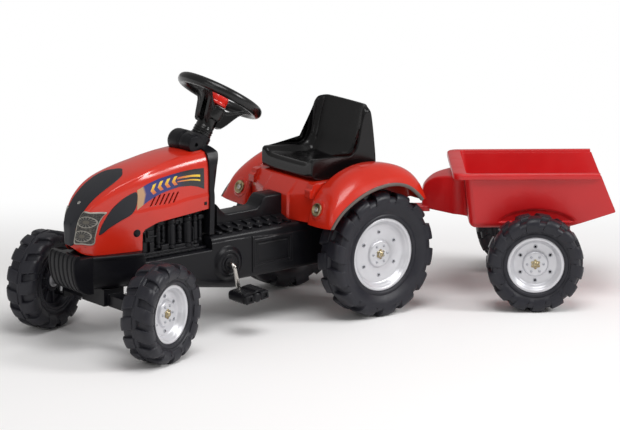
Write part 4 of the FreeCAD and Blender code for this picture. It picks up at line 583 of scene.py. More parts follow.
def rimMesh(kind, size):
    bore, boss, out, dish = size["bore"] + disc["gap"], size["boss"], size["bossOut"], size["dish"]
    inner, rim, lip = size["dishRadius"], size["rim"], size["lip"]
    brim = rim - disc["brim"]
    web, wall = dish - disc["thick"], rim - disc["thick"]
    profile = [(bore, out)] + offset(boss, out, disc["boss"]) + offset(boss, dish, disc["foot"])
    profile += offset(inner, dish, disc["bend"])
    profile += [(lerp(inner, brim, a), lerp(dish, lip, b)) for a, b in disc["slope"]]
    profile += offset(brim, lip, disc["edge"]) + offset(rim, lip, disc["outside"])
    profile += [(rim, disc["back"]), (wall, disc["back"]), (wall, web)]
    profile += [(disc["hub"], web), (disc["hub"], -size["hubBack"]), (bore, -size["hubBack"])]
    drills = []
    for k in range(6):
        pin = turned([(disc["drill"], y) for y in disc["drillRun"]], 20, closed=False)
        pin[1].append(tuple(2 * i for i in range(20)))
        pin[1].append(tuple(2 * i + 1 for i in range(20)))
        drills.append(moved(pin, around(60 * k, "Y") @ shift(0, 0, holeRing(size))))
    return cutBy("rim", meshOf("disc_" + kind, turned(profile, 96)), meshOf("drill", joined(drills)))


def rimTrim(size):
    # collars round the outer holes and domed bolts on the boss
    parts = []
    for k in range(6):
        spot = shift(0, size["dish"], holeRing(size))
        parts.append(moved(turned(disc["collar"], 20), around(60 * k, "Y") @ spot))
        spot = shift(0, size["bossOut"], size["boss"] * disc["boltShare"])
        parts.append(moved(turned(disc["bolt"], 6), around(60 * k + 30, "Y") @ spot))
    return joined(parts)


cap = {"radius": 0.0094, "tongue": 0.0012, "tongues": 6, "steep": 2.2, "gap": 0.0003, "steps": 48,
       "levels": [(0, 1), (0.0012, 1.02), (0.0016, 0.97)],
       "dome": mm([(0, 6.2), (2.6, 6), (4.8, 5.1), (6, 3.6), (6.6, 1.4), (7.2, 0)])}


def starCap(size):
    # a pressed lock cap with turned-up tongues round a dome
    rings = []
    start = size["bossOut"] + cap["gap"]
    for rise, grow in cap["levels"]:
        ring = []
        for a in circle(cap["steps"]):
            wave = cap["steep"] * math.cos(cap["tongues"] * a)
            r = (cap["radius"] + cap["tongue"] * max(-1, min(1, wave))) * grow
            ring.append((r * math.sin(a), start + rise, r * math.cos(a)))
        rings.append(ring)
    return joined([ribbon(rings), moved(turned(cap["dome"], 32, closed=False), shift(0, start, 0))])


back = {"outer": [(0.5, -26.6), (1, -28.4), (-3, -29), (-5, -27.8), (-7.5, -20), (-11, -18.5),
                  (-12.5, -11)],
        "hub": [(30, -9.5), (26, -11), (23.5, -17), (19, -18.2), (15.8, -18.2), (15.8, -6)],
        "inside": [(-4.6, -6), (-4.6, -26.6)], "fins": 10, "finHalf": 0.0014}


def wheelBack(size):
    # the tyre moulding closes the rim from inside, with fins between its hub and its ring
    rim = size["rim"]
    line = offset(rim, 0, back["outer"]) + mm(back["hub"]) + offset(rim, 0, back["inside"])
    parts = [turned(line, 96)]
    fin = mm([(25, -9), (25, -16)]) + offset(rim, 0, [(-12, -18.5), (-12, -9)])
    plate = ribbon([[(x, y, r) for r, y in fin] for x in (-back["finHalf"], back["finHalf"])])
    parts += [moved(plate, around(360 / back["fins"] * k, "Y")) for k in range(back["fins"])]
    return joined(parts)


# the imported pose: front wheels steered, trailer swung about the hitch pin
pose = {"steer": 20.25, "swing": -36.43, "hitch": -0.117, "kingpin": (0.6, 0.15, 0.104),
        "stub": (0, 0.04, 0), "rear": (0, 0.158, 0.135), "trailer": (-0.3435, 0.17, 0.104)}
cart = shift(pose["hitch"], 0, 0) @ around(pose["swing"])


def aside(key, side):
    x, y, z = pose[key]
    return shift(x, y * side, z)


wheelSpots = {}
for word, side in sides:
    outward = around(0 if side > 0 else 180)
    spot = aside("kingpin", side) @ around(pose["steer"]) @ aside("stub", side) @ outward
    wheelSpots["front_" + word] = ("small", spot, "wheel_front_" + word, "knuckle_" + word,
                                   "cap_front_" + word)
    spot = aside("rear", side) @ outward
    turns = "rear_axle" if side > 0 else "wheel_rear_right"
    wheelSpots["rear_" + word] = ("big", spot, turns, "rear_axle", "rear_caps")
    spot = cart @ aside("trailer", side) @ outward
    wheelSpots["trailer_" + word] = ("small", spot, "wheel_trailer_" + word, "trailer", "trailer_caps")
for kind, size in wheelSizes.items():
    rim = rimMesh(kind, size)
    makers = (tyreParts, rimTrim, starCap, wheelBack)
    tyre, trim, lock, inside = [meshOf(kind, maker(size)) for maker in makers]
    for word, (which, spot, body, capBody, capNode) in wheelSpots.items():
        if which == kind:
            show("tyre." + word, tyre, "tyre_dark", ["tyre_" + word], body, 40, spot)
            show("rim." + word, rim, "rim_light", ["rim_" + word], body, 40, spot)
            show("rimTrim." + word, trim, "rim_light", [], body, 40, spot, finishes["rimTrim"])
            show("cap." + word, lock, "cap_brass", [capNode], capBody, 40, spot)
            show("wheelBack." + word, inside, "tyre_dark", [], body, 35, spot)
print("wheels on")

# bonnet: one smooth skin through the sections, with a raised side band, side cut-outs and louvres
bonnet = {
    "skirtEdge": (-0.0026, 0.0010), "lipTop": 0.272, "lipStep": 0.002, "rayFrom": 0.85, "upShare": 0.05,
    "rear": 0.372, "long": 0.320, "half": 0.062, "base": 0.203, "tall": 0.188, "wall": 0.003,
    "stations": [0, 0.2, 0.4, 0.59, 0.75, 0.875, 0.95, 1],
    "wide": [1, 1, 0.985, 0.93, 0.8, 0.62, 0.42, 0.21],
    "top": [1, 0.973, 0.92, 0.851, 0.745, 0.617, 0.485, 0.37],
    "foot": [0, 0, 0, 0, 0, 0, 0.03, 0.1],
    "poleY": [0.96, 1.01, 1.04, 0.98, 0.56], "poleZ": [0, 0.32, 0.72, 0.95, 1.01],
    "boxyY": [0.95, 1.01, 1.12, 1.22, 0.98], "boxyFrom": (0.35, 0.95), "pull": 0.008,
    "pullFrom": (0.55, 1),
    "creaseHigh": mm([(372, 385.5), (381, 385), (436, 382), (465, 378), (517, 367), (560, 355), (596, 344),
                      (627, 329), (655, 305)]),
    "creaseLow": mm([(372, 302), (419, 298), (456, 294), (500, 290.5), (549, 288.5), (600, 287)]),
    "ridge": 0.0017, "ridgeWide": 0.0028, "ridgeFade": (0.605, 0.65), "skirt": 0.0020,
    "skirtFade": (0.545, 0.60),
    "tip": [(-1.2, 0.9), (-3.4, 1.8), (-6.4, 2.2)], "steps": 88, "across": 176, "cutHalf": 0.09,
    "cutout": mm([(360, 190), (540, 190), (540, 240), (534, 247), (507, 256.5), (500, 258), (360, 269.5)]),
    "louvres": 6, "louvreFirst": 0.522, "louvrePitch": 0.0115, "louvreLean": 0.012,
    "louvreZ": (0.294, 0.316), "louvreWide": 0.0042, "louvreSoft": 0.001,
}


def pulled(x):
    # the nose is drawn back a little, more toward its tip
    low, high = [bonnet["rear"] + bonnet["long"] * s for s in bonnet["pullFrom"]]
    return x - bonnet["pull"] * smooth(low, high, x)


def bonnetRing(s, grow=0.0, ahead=0.0, count=bonnet["across"]):
    wide, top, foot = [curveThrough(bonnet["stations"], bonnet[k], s) for k in ("wide", "top", "foot")]
    x = pulled(bonnet["rear"] + bonnet["long"] * s) + ahead
    w = bonnet["half"] * wide + grow
    low = bonnet["base"] + bonnet["tall"] * max(0, foot) - grow * 0.5
    high = bonnet["base"] + bonnet["tall"] * top + grow
    boxy = smooth(*bonnet["boxyFrom"], s)
    across = [lerp(a, b, boxy) for a, b in zip(bonnet["poleY"], bonnet["boxyY"])]
    left = [(x, w * a, lerp(low, high, b)) for a, b in zip(across, bonnet["poleZ"])]
    poles = left + [(p[0], -p[1], p[2]) for p in reversed(left)]
    ring = [poled(poles, t) for t in shares(count)]
    band = []
    for k, p in enumerate(ring):
        run = ring[min(k + 1, count)] - ring[max(k - 1, 0)]
        out = Vector((0, -run.z, run.y)).normalized()
        if out.y * p.y + max(out.z, 0) * bonnet["upShare"] < 0:
            out = -out
        over, under = table(bonnet["creaseHigh"], p.x), table(bonnet["creaseLow"], p.x)
        ridge = math.exp(-((p.z - over) / bonnet["ridgeWide"]) ** 2)
        skirt = 1 - smooth(*[under + v for v in bonnet["skirtEdge"]], p.z)
        lift = bonnet["ridge"] * ridge * (1 - smooth(*bonnet["ridgeFade"], p.x))
        lift += bonnet["skirt"] * skirt * (1 - smooth(*bonnet["skirtFade"], p.x))
        band.append(tuple(p + out * lift))
    return band


skinRings = [bonnetRing(s) for s in shares(bonnet["steps"])]
skinRings += [bonnetRing(1, grow, ahead) for grow, ahead in mm(bonnet["tip"])]
skinMesh = meshOf("bonnetSkin", ribbon(skinRings, loop=False, caps=(False, True)))
skinTree = BVHTree.FromPolygons([v.co for v in skinMesh.vertices],
                                [tuple(p.vertices) for p in skinMesh.polygons])
cutters = [prism(bonnet["cutout"], -bonnet["cutHalf"], bonnet["cutHalf"])]
for k in range(bonnet["louvres"]):
    x0 = bonnet["louvreFirst"] - bonnet["louvrePitch"] * k
    x1 = x0 - bonnet["louvreLean"]
    wide, soft = bonnet["louvreWide"], bonnet["louvreSoft"]
    low, high = bonnet["louvreZ"]
    slit = [(x0, low + soft), (x0 - soft, low), (x0 - wide + soft, low), (x0 - wide, low + soft),
            (x1 - wide, high - soft), (x1 - wide + soft, high), (x1 - soft, high), (x1, high - soft)]
    cutters.append(prism(slit, -bonnet["cutHalf"], bonnet["cutHalf"]))
shell = thickened("bonnetWall", skinMesh, bonnet["wall"])
shell = cutBy("bonnet", shell, meshOf("bonnetCuts", joined(cutters)))
show("bonnet.shell", shell, "shell_red", ["bonnet"], sharp=32.0)


def smoothLoop(points, per):
    # closed smooth line through the given corners
    out = []
    n = len(points)
    for i in range(n):
        p0, p1, p2, p3 = [Vector(points[(i + k) % n]) for k in (-1, 0, 1, 2)]
        for t in shares(per)[:-1]:
            out.append(0.5 * (2 * p1 + (p2 - p0) * t + (2 * p0 - 5 * p1 + 4 * p2 - p3) * t * t
                              + (3 * p1 - p0 - 3 * p2 + p3) * t ** 3))
    return out


def struck(start, aim):
    # where a ray meets the bonnet, and the skin's normal toward the ray's start
    hit, normal = skinTree.ray_cast(start, aim)[:2]
    if hit is None:
        hit, normal = skinTree.find_nearest(start + aim * 0.1)[:2]
    return hit, -normal if normal.dot(aim) > 0 else normal


def patch(outline, ray):
    # a thin inlay laid on the bonnet inside a closed outline
    centre = sum(outline, Vector((0, 0))) / len(outline)
    rows = []
    for share, part in inlays["levels"]:
        struckRow = [struck(*ray(*(centre + (p - centre) * share))) for p in outline]
        rows.append([tuple(hit + normal * part * inlays["rise"]) for hit, normal in struckRow])
    return ribbon(rows, caps=(False, True))


def sideRay(side):
    return lambda u, v: (Vector((u, 0.2 * side, v)), Vector((0, -side, 0)))


def frontRay(u, v):
    return Vector((bonnet["rayFrom"], u, v)), Vector((-1, 0, 0))


# the nose line, from the top of the bonnet forward and down to its lower lip
noseLine = [Vector((ring[88][0], ring[88][2])) for ring in skinRings[34:90]]
noseLine += [Vector((skinRings[-1][0][0], bonnet["lipTop"] - bonnet["lipStep"] * k)) for k in range(1, 27)]
noseRun = [0]
for a, b in zip(noseLine, noseLine[1:]):
    noseRun.append(noseRun[-1] + (b - a).length)


def noseRay(u, v):
    k = min(max(bisect_left(noseRun, u), 1), len(noseLine) - 1)
    f = (u - noseRun[k - 1]) / (noseRun[k] - noseRun[k - 1])
    spot = noseLine[k - 1].lerp(noseLine[k], f)
    run = (noseLine[min(k + 4, len(noseLine) - 1)] - noseLine[max(k - 5, 0)]).normalized()
    out = Vector((-run.y, 0, run.x))
    if out.x + out.z < 0:
        out = -out
    return Vector((spot.x, v, spot.y)) + out * 0.06, -out


def noseAt(z):
    return next((run for run, p in zip(noseRun, noseLine) if p.y <= z), noseRun[-1])


inlays = {
    "grille": mm([(367.2, 4), (365.5, 14), (362, 27.5), (354, 35.5), (341, 35.7), (318, 30.5), (292, 24.5),
                  (262, 19.2), (240, 16.2), (226, 12)]),
    "vent": mm([(643, 248), (639, 264), (630, 281), (616, 300), (597, 315), (577, 325), (556, 329.5),
                (553, 315), (558, 294.5), (571, 282.5), (594, 273), (620, 260.5), (634, 251)]),
    "lamp": mm([(15.2, 230.5), (25.5, 228.6), (37, 227), (40, 245), (44, 270), (48.2, 287), (50.5, 295.5),
                (40, 297.5), (28.5, 298.5), (24.5, 285), (20.8, 268), (17.5, 250)]),
    # share of the outline and share of the rise, from the buried edge to the middle
    "levels": [(1.004, -0.75), (1, 0.45), (0.985, 0.9), (0.965, 1)]
              + [(0.92 - 0.07 * k, 1) for k in range(13)],
    "rise": 0.0016,
}
right = [Vector((noseAt(z), y)) for z, y in inlays["grille"]]
left = [Vector((p.x, -p.y)) for p in reversed(right)]
show("grille.face", patch(smoothLoop(right + left, 14), noseRay), "inlay_dark", ["grille"], sharp=50.0)
for word, side in sides:
    line = smoothLoop([Vector((pulled(x), z)) for x, z in inlays["vent"]], 8)
    show("vent." + word, patch(line, sideRay(side)), "inlay_dark", ["vent_" + word], sharp=50.0)
    line = smoothLoop([Vector((y * side, z)) for y, z in inlays["lamp"]], 8)
    spots = [(share, 0) for share, part in inlays["levels"] for p in line]
    face = printed(meshOf("lamp_" + word, patch(line, frontRay)), spots)
    show("lamp." + word, face, "lamp_silver", ["headlamp_" + word], sharp=50.0, finish=lampFinish)
    rows, spots = [], []
    for u in shares(64):
        x = lerp(sticker["rear"], sticker["front"], u)
        row = []
        for v in shares(16):
            z = lerp(table(sticker["low"], x), table(sticker["top"], x), v)
            row.append(tuple(struck(*sideRay(side)(x, z))[0] + Vector((0, side, 0)) * sticker["lift"]))
            spots.append((u, v))
        rows.append(row)
    face = printed(meshOf("sticker_" + word, ribbon(rows, loop=False, caps=bare)), spots)
    show("sticker." + word, face, "shell_red", sharp=60.0, finish=stickerFinish)
print("bonnet on")

# trailer tub: walls on three sides with a wheel-arch relief and a rounded lower edge, a rim, a ramp floor
tub = {"floor": 0.172, "top": 0.288, "halfLow": 0.106, "halfTop": 0.118, "frontLow": -0.206,
       "frontTop": -0.194, "keelEnd": -0.440, "tail": -0.522, "tailLow": 0.199, "rearTop": -0.486,
       "wall": 0.004, "corner": 0.016, "lip": 0.018, "base": 0.163, "round": 0.014,
       "arch": (-0.350, 0.086, 0.166, 0.040), "archSunk": 0.0034,
       "archFrom": 0.179, "rounding": mm([0, 0.4, 1.2, 2.6, 4.8, 7.8, 11]), "walls": (0.177, 0.282, 44),
       "rim": mm([(-4, 274), (1, 275), (5.6, 275.1), (6.6, 275.7), (7, 276.8), (7, 285.2), (6.4, 287),
                  (5, 288), (-2.2, 288), (-3.6, 287.4), (-4.2, 286)]),
       "sheet": 0.0035, "inset": 0.0068, "rib": 0.0012, "ribPitch": 0.034, "ribEdge": (0.0022, 0.0040),
       "ribShift": 0.006, "cornerMin": 0.002, "lipFrom": 0.002, "floorTuck": 0.003, "floorFrom": -0.22,
       "flank": 0.96, "archEdge": (0.95, 1.03)}


def tubShare(z):
    return (z - tub["floor"]) / (tub["top"] - tub["floor"])


def tubHalf(z):
    return lerp(tub["halfLow"], tub["halfTop"], tubShare(z))


def tubFront(z):
    return lerp(tub["frontLow"], tub["frontTop"], tubShare(z))


def tubRear(z):
    if z < tub["tailLow"]:
        return lerp(tub["keelEnd"], tub["tail"], (z - tub["floor"]) / (tub["tailLow"] - tub["floor"]))
    return lerp(tub["tail"], tub["rearTop"], (z - tub["tailLow"]) / (tub["top"] - tub["tailLow"]))


def tubPath(z, grow=0.0, sideSteps=112, frontSteps=24, ahead=0.0):
    # left wall from the rear, round the front, and back along the right wall
    half, front, rear = tubHalf(z) + grow, tubFront(z) + grow + ahead, tubRear(z)
    corner = max(tub["corner"] + grow, tub["cornerMin"])
    line = [(lerp(rear, front - corner, t), half) for t in shares(sideSteps)]
    line += rounded(front - corner, half - corner, corner, range(75, -1, -15))
    across = [(front, lerp(half - corner, corner - half, t)) for t in shares(frontSteps)[1:-1]]
    return line + across + [(x, -y) for x, y in reversed(line)]


def tubSunk(x, z):
    cx, wide, low, tall = tub["arch"]
    far = math.hypot((x - cx) / wide, (z - low) / tall)
    return tub["archSunk"] * (1 - smooth(*tub["archEdge"], far))


def tubTuck(z):
    # the walls round in toward their lower edge
    below = max(0, tub["base"] + tub["round"] - z)
    return tub["round"] - math.sqrt(max(tub["round"] ** 2 - below ** 2, 0))


def showTowed(name, mesh, stands):
    mesh.transform(cart)
    show(name, mesh, "trailer_red", [stands], "trailer", 38)


low, high, steps = tub["walls"]
levels = [tub["base"] + rise for rise in tub["rounding"]]
levels += [lerp(low, high, t) for t in shares(steps)]
rows = []
for z in levels:
    row = []
    tuck = tubTuck(z)
    for x, y in tubPath(z, -tuck):
        deep = tubSunk(x, z) if abs(y) > tubHalf(z) * tub["flank"] and z > tub["archFrom"] else 0.0
        row.append((x, y - math.copysign(deep, y), z))
    rows.append(row + [(x, y, z) for x, y in reversed(tubPath(z, -tuck - tub["wall"]))])
showTowed("tub.wall", meshOf("tubWall", ribbon(rows)), "tub")
loops = []
for grow, z in tub["rim"]:
    line = tubPath(tub["top"], grow, 40, ahead=tub["lip"] if grow > tub["lipFrom"] else 0.0)
    loops.append([(x, y, z) for x, y in line])
showTowed("tub.flange", meshOf("tubFlange", ribbon(list(zip(*loops)))), "tub")
floorLine = [(tub["frontLow"] - tub["floorTuck"], tub["floor"])]
floorLine += [(lerp(tub["floorFrom"], tub["keelEnd"], t), tub["floor"]) for t in shares(20)]
for t in shares(8)[1:]:
    floorLine.append((lerp(tub["keelEnd"], tub["tail"], t), lerp(tub["floor"], tub["tailLow"], t)))
rows = []
for x, z in floorLine:
    half = tubHalf(z) - tub["inset"]
    row = []
    for y in [lerp(-half, half, t) for t in shares(56)]:
        off = abs((y + tub["ribShift"]) % tub["ribPitch"] - tub["ribPitch"] / 2)
        row.append((x, y, z + tub["rib"] * (1 - smooth(*tub["ribEdge"], off))))
    rows.append(row)
sheet = meshOf("tubSheet", ribbon(rows, loop=False, caps=bare))
showTowed("tub.floor", thickened("tubFloor", sheet, tub["sheet"], 1), "tub")
print("trailer on")

# seat: a moulded bucket with raised sides and a tall back, rounded by subdividing a cage
seat = {"half": 0.088, "front": 0.118, "rear": -0.058, "low": 0.293, "tall": 0.145,
        "edge": [(0, 0), (0.45, 0.04), (0.72, 0.12), (0.79, 0.38), (0.85, 0.82), (0.9, 1),
                 (1, 1)],
        "side": [(1, 0), (1, 0.297), (0.966, 0.338), (0.67, 0.31), (0.42, 0.276), (0.341, 0.317),
                 (0.273, 0.434), (0.193, 0.931), (0.159, 0.985), (0.08, 0.985), (0.011, 0.255),
                 (0.006, 0)],
        "middle": [(1, 0), (1, 0.21), (0.966, 0.255), (0.7, 0.19), (0.42, 0.16), (0.3, 0.18),
                   (0.215, 0.36), (0.1, 0.94), (0.085, 1), (0.045, 1), (0, 0.255), (0, 0)],
        "across": [0, 0.22, 0.45, 0.6, 0.72, 0.79, 0.85, 0.9, 0.95, 0.985, 1], "drop": 0.009,
        "dropFrom": 0.84, "dropRun": (0.7, 0.95), "tuck": 0.1, "tuckRise": 0.03,
        "fill": (0.12, 0.5, 0.88)}


def seatRing(y, tuck=0.0):
    edge = table(seat["edge"], abs(y))
    points = []
    for (sx, sz), (mx, mz) in zip(seat["side"], seat["middle"]):
        x, z = lerp(mx, sx, edge), lerp(mz, sz, edge)
        points.append((lerp(seat["rear"], seat["front"], x), seat["low"] + seat["tall"] * z))
    drop = seat["drop"] * max(0, (abs(y) - seat["dropFrom"]) / (1 - seat["dropFrom"])) ** 2
    ring = []
    for (x0, z0), (x1, z1) in zip(points, points[1:] + points[:1]):
        for f in seat["fill"]:
            x, z = lerp(x0, x1, f), lerp(z0, z1, f)
            z -= drop * smooth(*seat["dropRun"], (z - seat["low"]) / seat["tall"])
            z = lerp(z, seat["low"] + seat["tuckRise"], tuck)
            ring.append((lerp(x, 0, tuck), seat["half"] * y, z))
    return ring


spots = [-y for y in reversed(seat["across"][1:])] + seat["across"]
rows = [seatRing(-1, seat["tuck"])] + [seatRing(y) for y in spots] + [seatRing(1, seat["tuck"])]
bucket = modified("seatBucket", meshOf("seatCage", ribbon(rows)), "SUBSURF", levels=2)
show("seat.bucket", bucket, "seat_black", ["seat"], sharp=60.0)
print("seat on")

# steering: thick rim on three webbed spokes, ribbed sleeve down the column, red horn block
wheel = {
    "gripTall": 1.08, "riseRun": (0.05, 0.95), "narrowRun": (0.1, 0.6), "widenFrom": 0.75,
    "webFall": (0.18, 0.72), "webTaper": 0.25,
    "foot": (0.348, 0, 0.407), "lean": -33.0, "turn": 26.03, "rise": 0.098, "radius": 0.086,
    "grip": 0.0105, "hub": 0.017, "hubRise": 0.0665, "webAt": 0.0092, "webHalf": (0.0034, 0.0027),
    "webRun": (0.019, 0.077), "webDrop": 0.003, "webDeep": (0.032, 0.0035), "spokeThick": (0.0050, 0.0040),
    # half width of a spoke at the hub, how much it narrows, and how much it widens again at the rim
    "spokeHalf": (0.0150, 0.0040, 0.0022),
    "sleeve": mm([(6.2, 5.5), (20.6, 5.5), (21.2, 6.6), (21.2, 9.2), (20, 10), (20, 11.2), (21.2, 12),
                  (21.2, 14.6), (20, 15.4), (20, 16.6), (21.2, 17.4), (21, 20.4), (20, 21.6), (19.8, 30),
                  (19.8, 40), (21.2, 43), (25, 45), (26.2, 47.5), (26.8, 56), (26.8, 69), (26.2, 71.8),
                  (24.6, 73), (6.2, 73)]),
    "spoke": [(-1, -0.4), (-0.86, -0.9), (-0.4, -1), (0.4, -1), (0.86, -0.9), (1, -0.4), (1, 0.4),
              (0.86, 0.9), (0.5, 1), (0.36, 0.72), (-0.36, 0.72), (-0.5, 1), (-0.86, 0.9), (-1, 0.4)],
    "pad": mm([(0, 101), (8.5, 101), (9.5, 101.5), (10, 102.3), (14.5, 102.1), (18, 101.2), (20.2, 99.3),
                (21.4, 96.5), (22, 91.5), (22, 85), (21.4, 84.3), (21.4, 83.1), (22, 82.3), (22, 78.1),
                (21.2, 76.9), (20, 76.5), (0, 76.5)]),
    "stem": mm([(0, 76.9), (3.9, 76.9), (3.9, 66.8), (3.4, 66.1), (0, 66.1)]),
}
column = shift(*wheel["foot"]) @ around(wheel["lean"], "Y")
helm = column @ around(wheel["turn"])


def spokeRise(r):
    share = (r - wheel["hub"]) / (wheel["radius"] - wheel["hub"])
    return lerp(wheel["hubRise"], wheel["rise"], smooth(*wheel["riseRun"], share))


rimRing = []
for a in circle(20):
    rise = wheel["rise"] + wheel["gripTall"] * wheel["grip"] * math.sin(a)
    rimRing.append((wheel["radius"] + wheel["grip"] * math.cos(a), rise))
parts = [upTurned(rimRing, 96), upTurned(wheel["sleeve"], 64)]
rings = []
for t in shares(14):
    r = lerp(wheel["hub"], wheel["radius"], t)
    atHub, narrow, widen = wheel["spokeHalf"]
    wide = atHub - narrow * smooth(*wheel["narrowRun"], t) + widen * smooth(wheel["widenFrom"], 1, t)
    thick = lerp(*wheel["spokeThick"], t)
    rings.append([(r, wide * a, spokeRise(r) + thick * b) for a, b in wheel["spoke"]])
arm = [ribbon(rings)]
for side in (-1, 1):
    web = []
    for t in shares(8):
        r = lerp(*wheel["webRun"], t)
        top = spokeRise(r) - wheel["webDrop"]
        low = top - lerp(*wheel["webDeep"], smooth(*wheel["webFall"], t))
        y = side * wheel["webAt"] * (1 - wheel["webTaper"] * t)
        high, foot = wheel["webHalf"]
        web.append([(r, y - high, top), (r, y + high, top), (r, y + foot, low), (r, y - foot, low)])
    arm.append(ribbon(web))
parts += [moved(joined(arm), around(120 * k)) for k in range(3)]
show("steering.wheel", moved(joined(parts), helm), "frame_black", ["steering_wheel"], "steering",
     finish=finishes["wheelBlack"])
for key, steps in (("pad", 56), ("stem", 24)):
    show("horn." + key, moved(upTurned(wheel[key], steps), helm), "horn_red", ["horn_pad"], "horn")
print("steering on")

# mudguards and saddle: one red moulding, with a dark strip round each guard's outer edge
guard = {
    "reach": 0.146, "base": 0.200, "tall": 0.129, "wall": 0.003, "flatFrom": 0.117,
    "y": [0.108, 0.150, 0.180, 0.192],
    "x": [[1.02, 0.973, 0.836, 0.466, 0.034, -0.411, -0.74, -0.877, -0.925],
          [1.017, 0.966, 0.808, 0.452, 0.034, -0.377, -0.651, -0.781, -0.829],
          [1.014, 0.897, 0.74, 0.397, 0.034, -0.274, -0.507, -0.651, -0.699]],
    "z": [[0.078, 0.364, 0.643, 0.895, 0.996, 0.922, 0.744, 0.481, 0.248],
          [0.093, 0.341, 0.558, 0.744, 0.833, 0.814, 0.667, 0.45, 0.31],
          [0.109, 0.295, 0.434, 0.636, 0.717, 0.698, 0.581, 0.419, 0.341]],
    # y and inset of the lines that round the guard's inner edge, then inset and y of the strip's section
    "rounding": mm([(108, 12), (108.2, 7.5), (109, 4.2), (110.8, 1.6), (113.5, 0.4)]),
    "strip": mm([(-0.4, 191.4), (-0.8, 195.2), (0.6, 196.4), (4.8, 196.4), (6.2, 195.2), (6.6, 191.4)]),
    "boltY": 0.136, "boltZ": 0.245, "boltOut": 0.0008, "boltGrow": 1.22,
    "boss": mm([(0, -6), (18, -6), (17.6, -1.4), (16.4, -0.6), (14.6, -0.1), (13, 0), (0, 0)]),
    "cup": mm([(5.2, 0.6), (6.2, 0.6), (8, 2.2), (9.2, 3.6), (10.4, 4), (11.7, 3), (12, 0.1), (5.2, 0.1)]),
    "head": mm([(0, 3.4), (1.8, 3.4), (2.4, 4), (4, 4), (5, 3.4), (5.3, 2.4), (5.3, 0)]),
}


def guardArc(y, inset=0.0, count=84):
    poles = []
    for k in range(9):
        # the first row counts twice, at the inner edge and where the guard begins to fall
        x, z = [curveThrough(guard["y"], [rows[0][k]] + [row[k] for row in rows], y)
                for rows in (guard["x"], guard["z"])]
        poles.append((guard["reach"] * x, 0, guard["base"] + guard["tall"] * z))
    arc = [poled(poles, t) for t in shares(count)]
    return [p + (Vector((0, 0, guard["base"])) - p).normalized() * inset for p in arc]


def upward(mesh):
    # faces that look down or inward on a sheet's top are turned round
    tall = max(mesh.vertices, key=lambda v: v.co.z)
    if tall.normal.z < 0:
        mesh.flip_normals()
    return mesh


for word, side in sides:
    lines = guard["rounding"] + [(lerp(guard["flatFrom"], guard["y"][-1], t), 0) for t in shares(22)]
    rows = [[(p.x, y * side, p.z) for p in guardArc(y, inset)] for y, inset in lines]
    skin = upward(meshOf("guardSkin_" + word, ribbon(rows, loop=False, caps=(True, False))))
    show("guard." + word, thickened("guard_" + word, skin, guard["wall"]), "shell_red", ["seat_unit"])
    arcs = [[(p.x, y * side, p.z) for p in guardArc(guard["y"][-1], inset)] for inset, y in guard["strip"]]
    show("trim." + word, ribbon(list(zip(*arcs))), "trim_grey", ["trim_" + word], sharp=50.0)
    arc = guardArc(guard["boltY"])
    near = min(range(1, 30), key=lambda k: abs(arc[k].z - guard["boltZ"]))
    run = arc[near + 1] - arc[near - 1]
    tilt = math.degrees(math.atan2(-run.x, run.z))
    spot = shift(arc[near].x + guard["boltOut"], guard["boltY"] * side, guard["boltZ"]) @ around(-tilt, "Y")
    spot = spot @ around(-90) @ Matrix.Diagonal((guard["boltGrow"], 1, guard["boltGrow"], 1))
    show("guardBoss." + word, turned(guard["boss"], 40), "shell_red", ["seat_unit"], at=spot)
    show("boltCup." + word, turned(guard["cup"], 40), "plate_steel", ["fender_bolts"], sharp=45.0, at=spot,
         finish=finishes["capZinc"])
    show("boltHead." + word, turned(guard["head"], 6), "bright_steel", ["fender_bolts"], sharp=30.0,
         at=spot)

saddle = {"half": 0.108, "low": 0.2083, "front": 0.150, "shoulder": 0.2640, "crest": 0.120, "top": 0.2925,
          "block": 0.042, "back": 0.016, "step": 0.0045, "lift": 0.012, "blend": 0.0035, "crestBack": 0.006,
          "foot": 0.001, "brow": [(0.4, -30), (0, -3.5), (-1.2, -1.2), (-3.6, 1)],
          "roll": [(2, -1.6), (-2, 0)], "fall": [(-68, 0), (-72, -2)],
          "clipY": mm([89.5, 90.5, 106.5, 107.5]),
          "clip": mm([(118, 262), (136.5, 262), (138.5, 264), (138.5, 279.5), (136.5, 281.5), (132, 282.5),
                      (131, 288), (129, 291.5), (118, 293)]),
          "rear": mm([(-94, 264), (-95, 260)])}
rows = []
for y in [saddle["half"] * (2 * t - 1) for t in shares(72)]:
    wing = smooth(saddle["block"], saddle["block"] + saddle["blend"], abs(y))
    slide = max(0, (abs(y) - saddle["block"]) / (saddle["half"] - saddle["block"]))
    front = saddle["front"] - saddle["step"] * wing - saddle["back"] * slide
    shoulder = saddle["shoulder"] + saddle["lift"] * slide
    crest, top = min(saddle["crest"], front - saddle["crestBack"]), saddle["top"]
    line = [(front + saddle["foot"], saddle["low"])]
    line += offset(front, shoulder, saddle["brow"])
    line += offset(crest, top, saddle["roll"]) + offset(0, top, saddle["fall"])
    line += saddle["rear"] + [(saddle["rear"][-1][0], saddle["low"])]
    rows.append([(x, y, z) for x, z in line])
pieces = [ribbon(rows)]
for word, side in sides:
    # the small clip between the saddle's front and each guard
    pieces.append(prism(saddle["clip"], *[side * y for y in saddle["clipY"]]))
show("saddle.shell", joined(pieces), "shell_red", ["seat_unit"], sharp=38.0)
print("mudguards on")

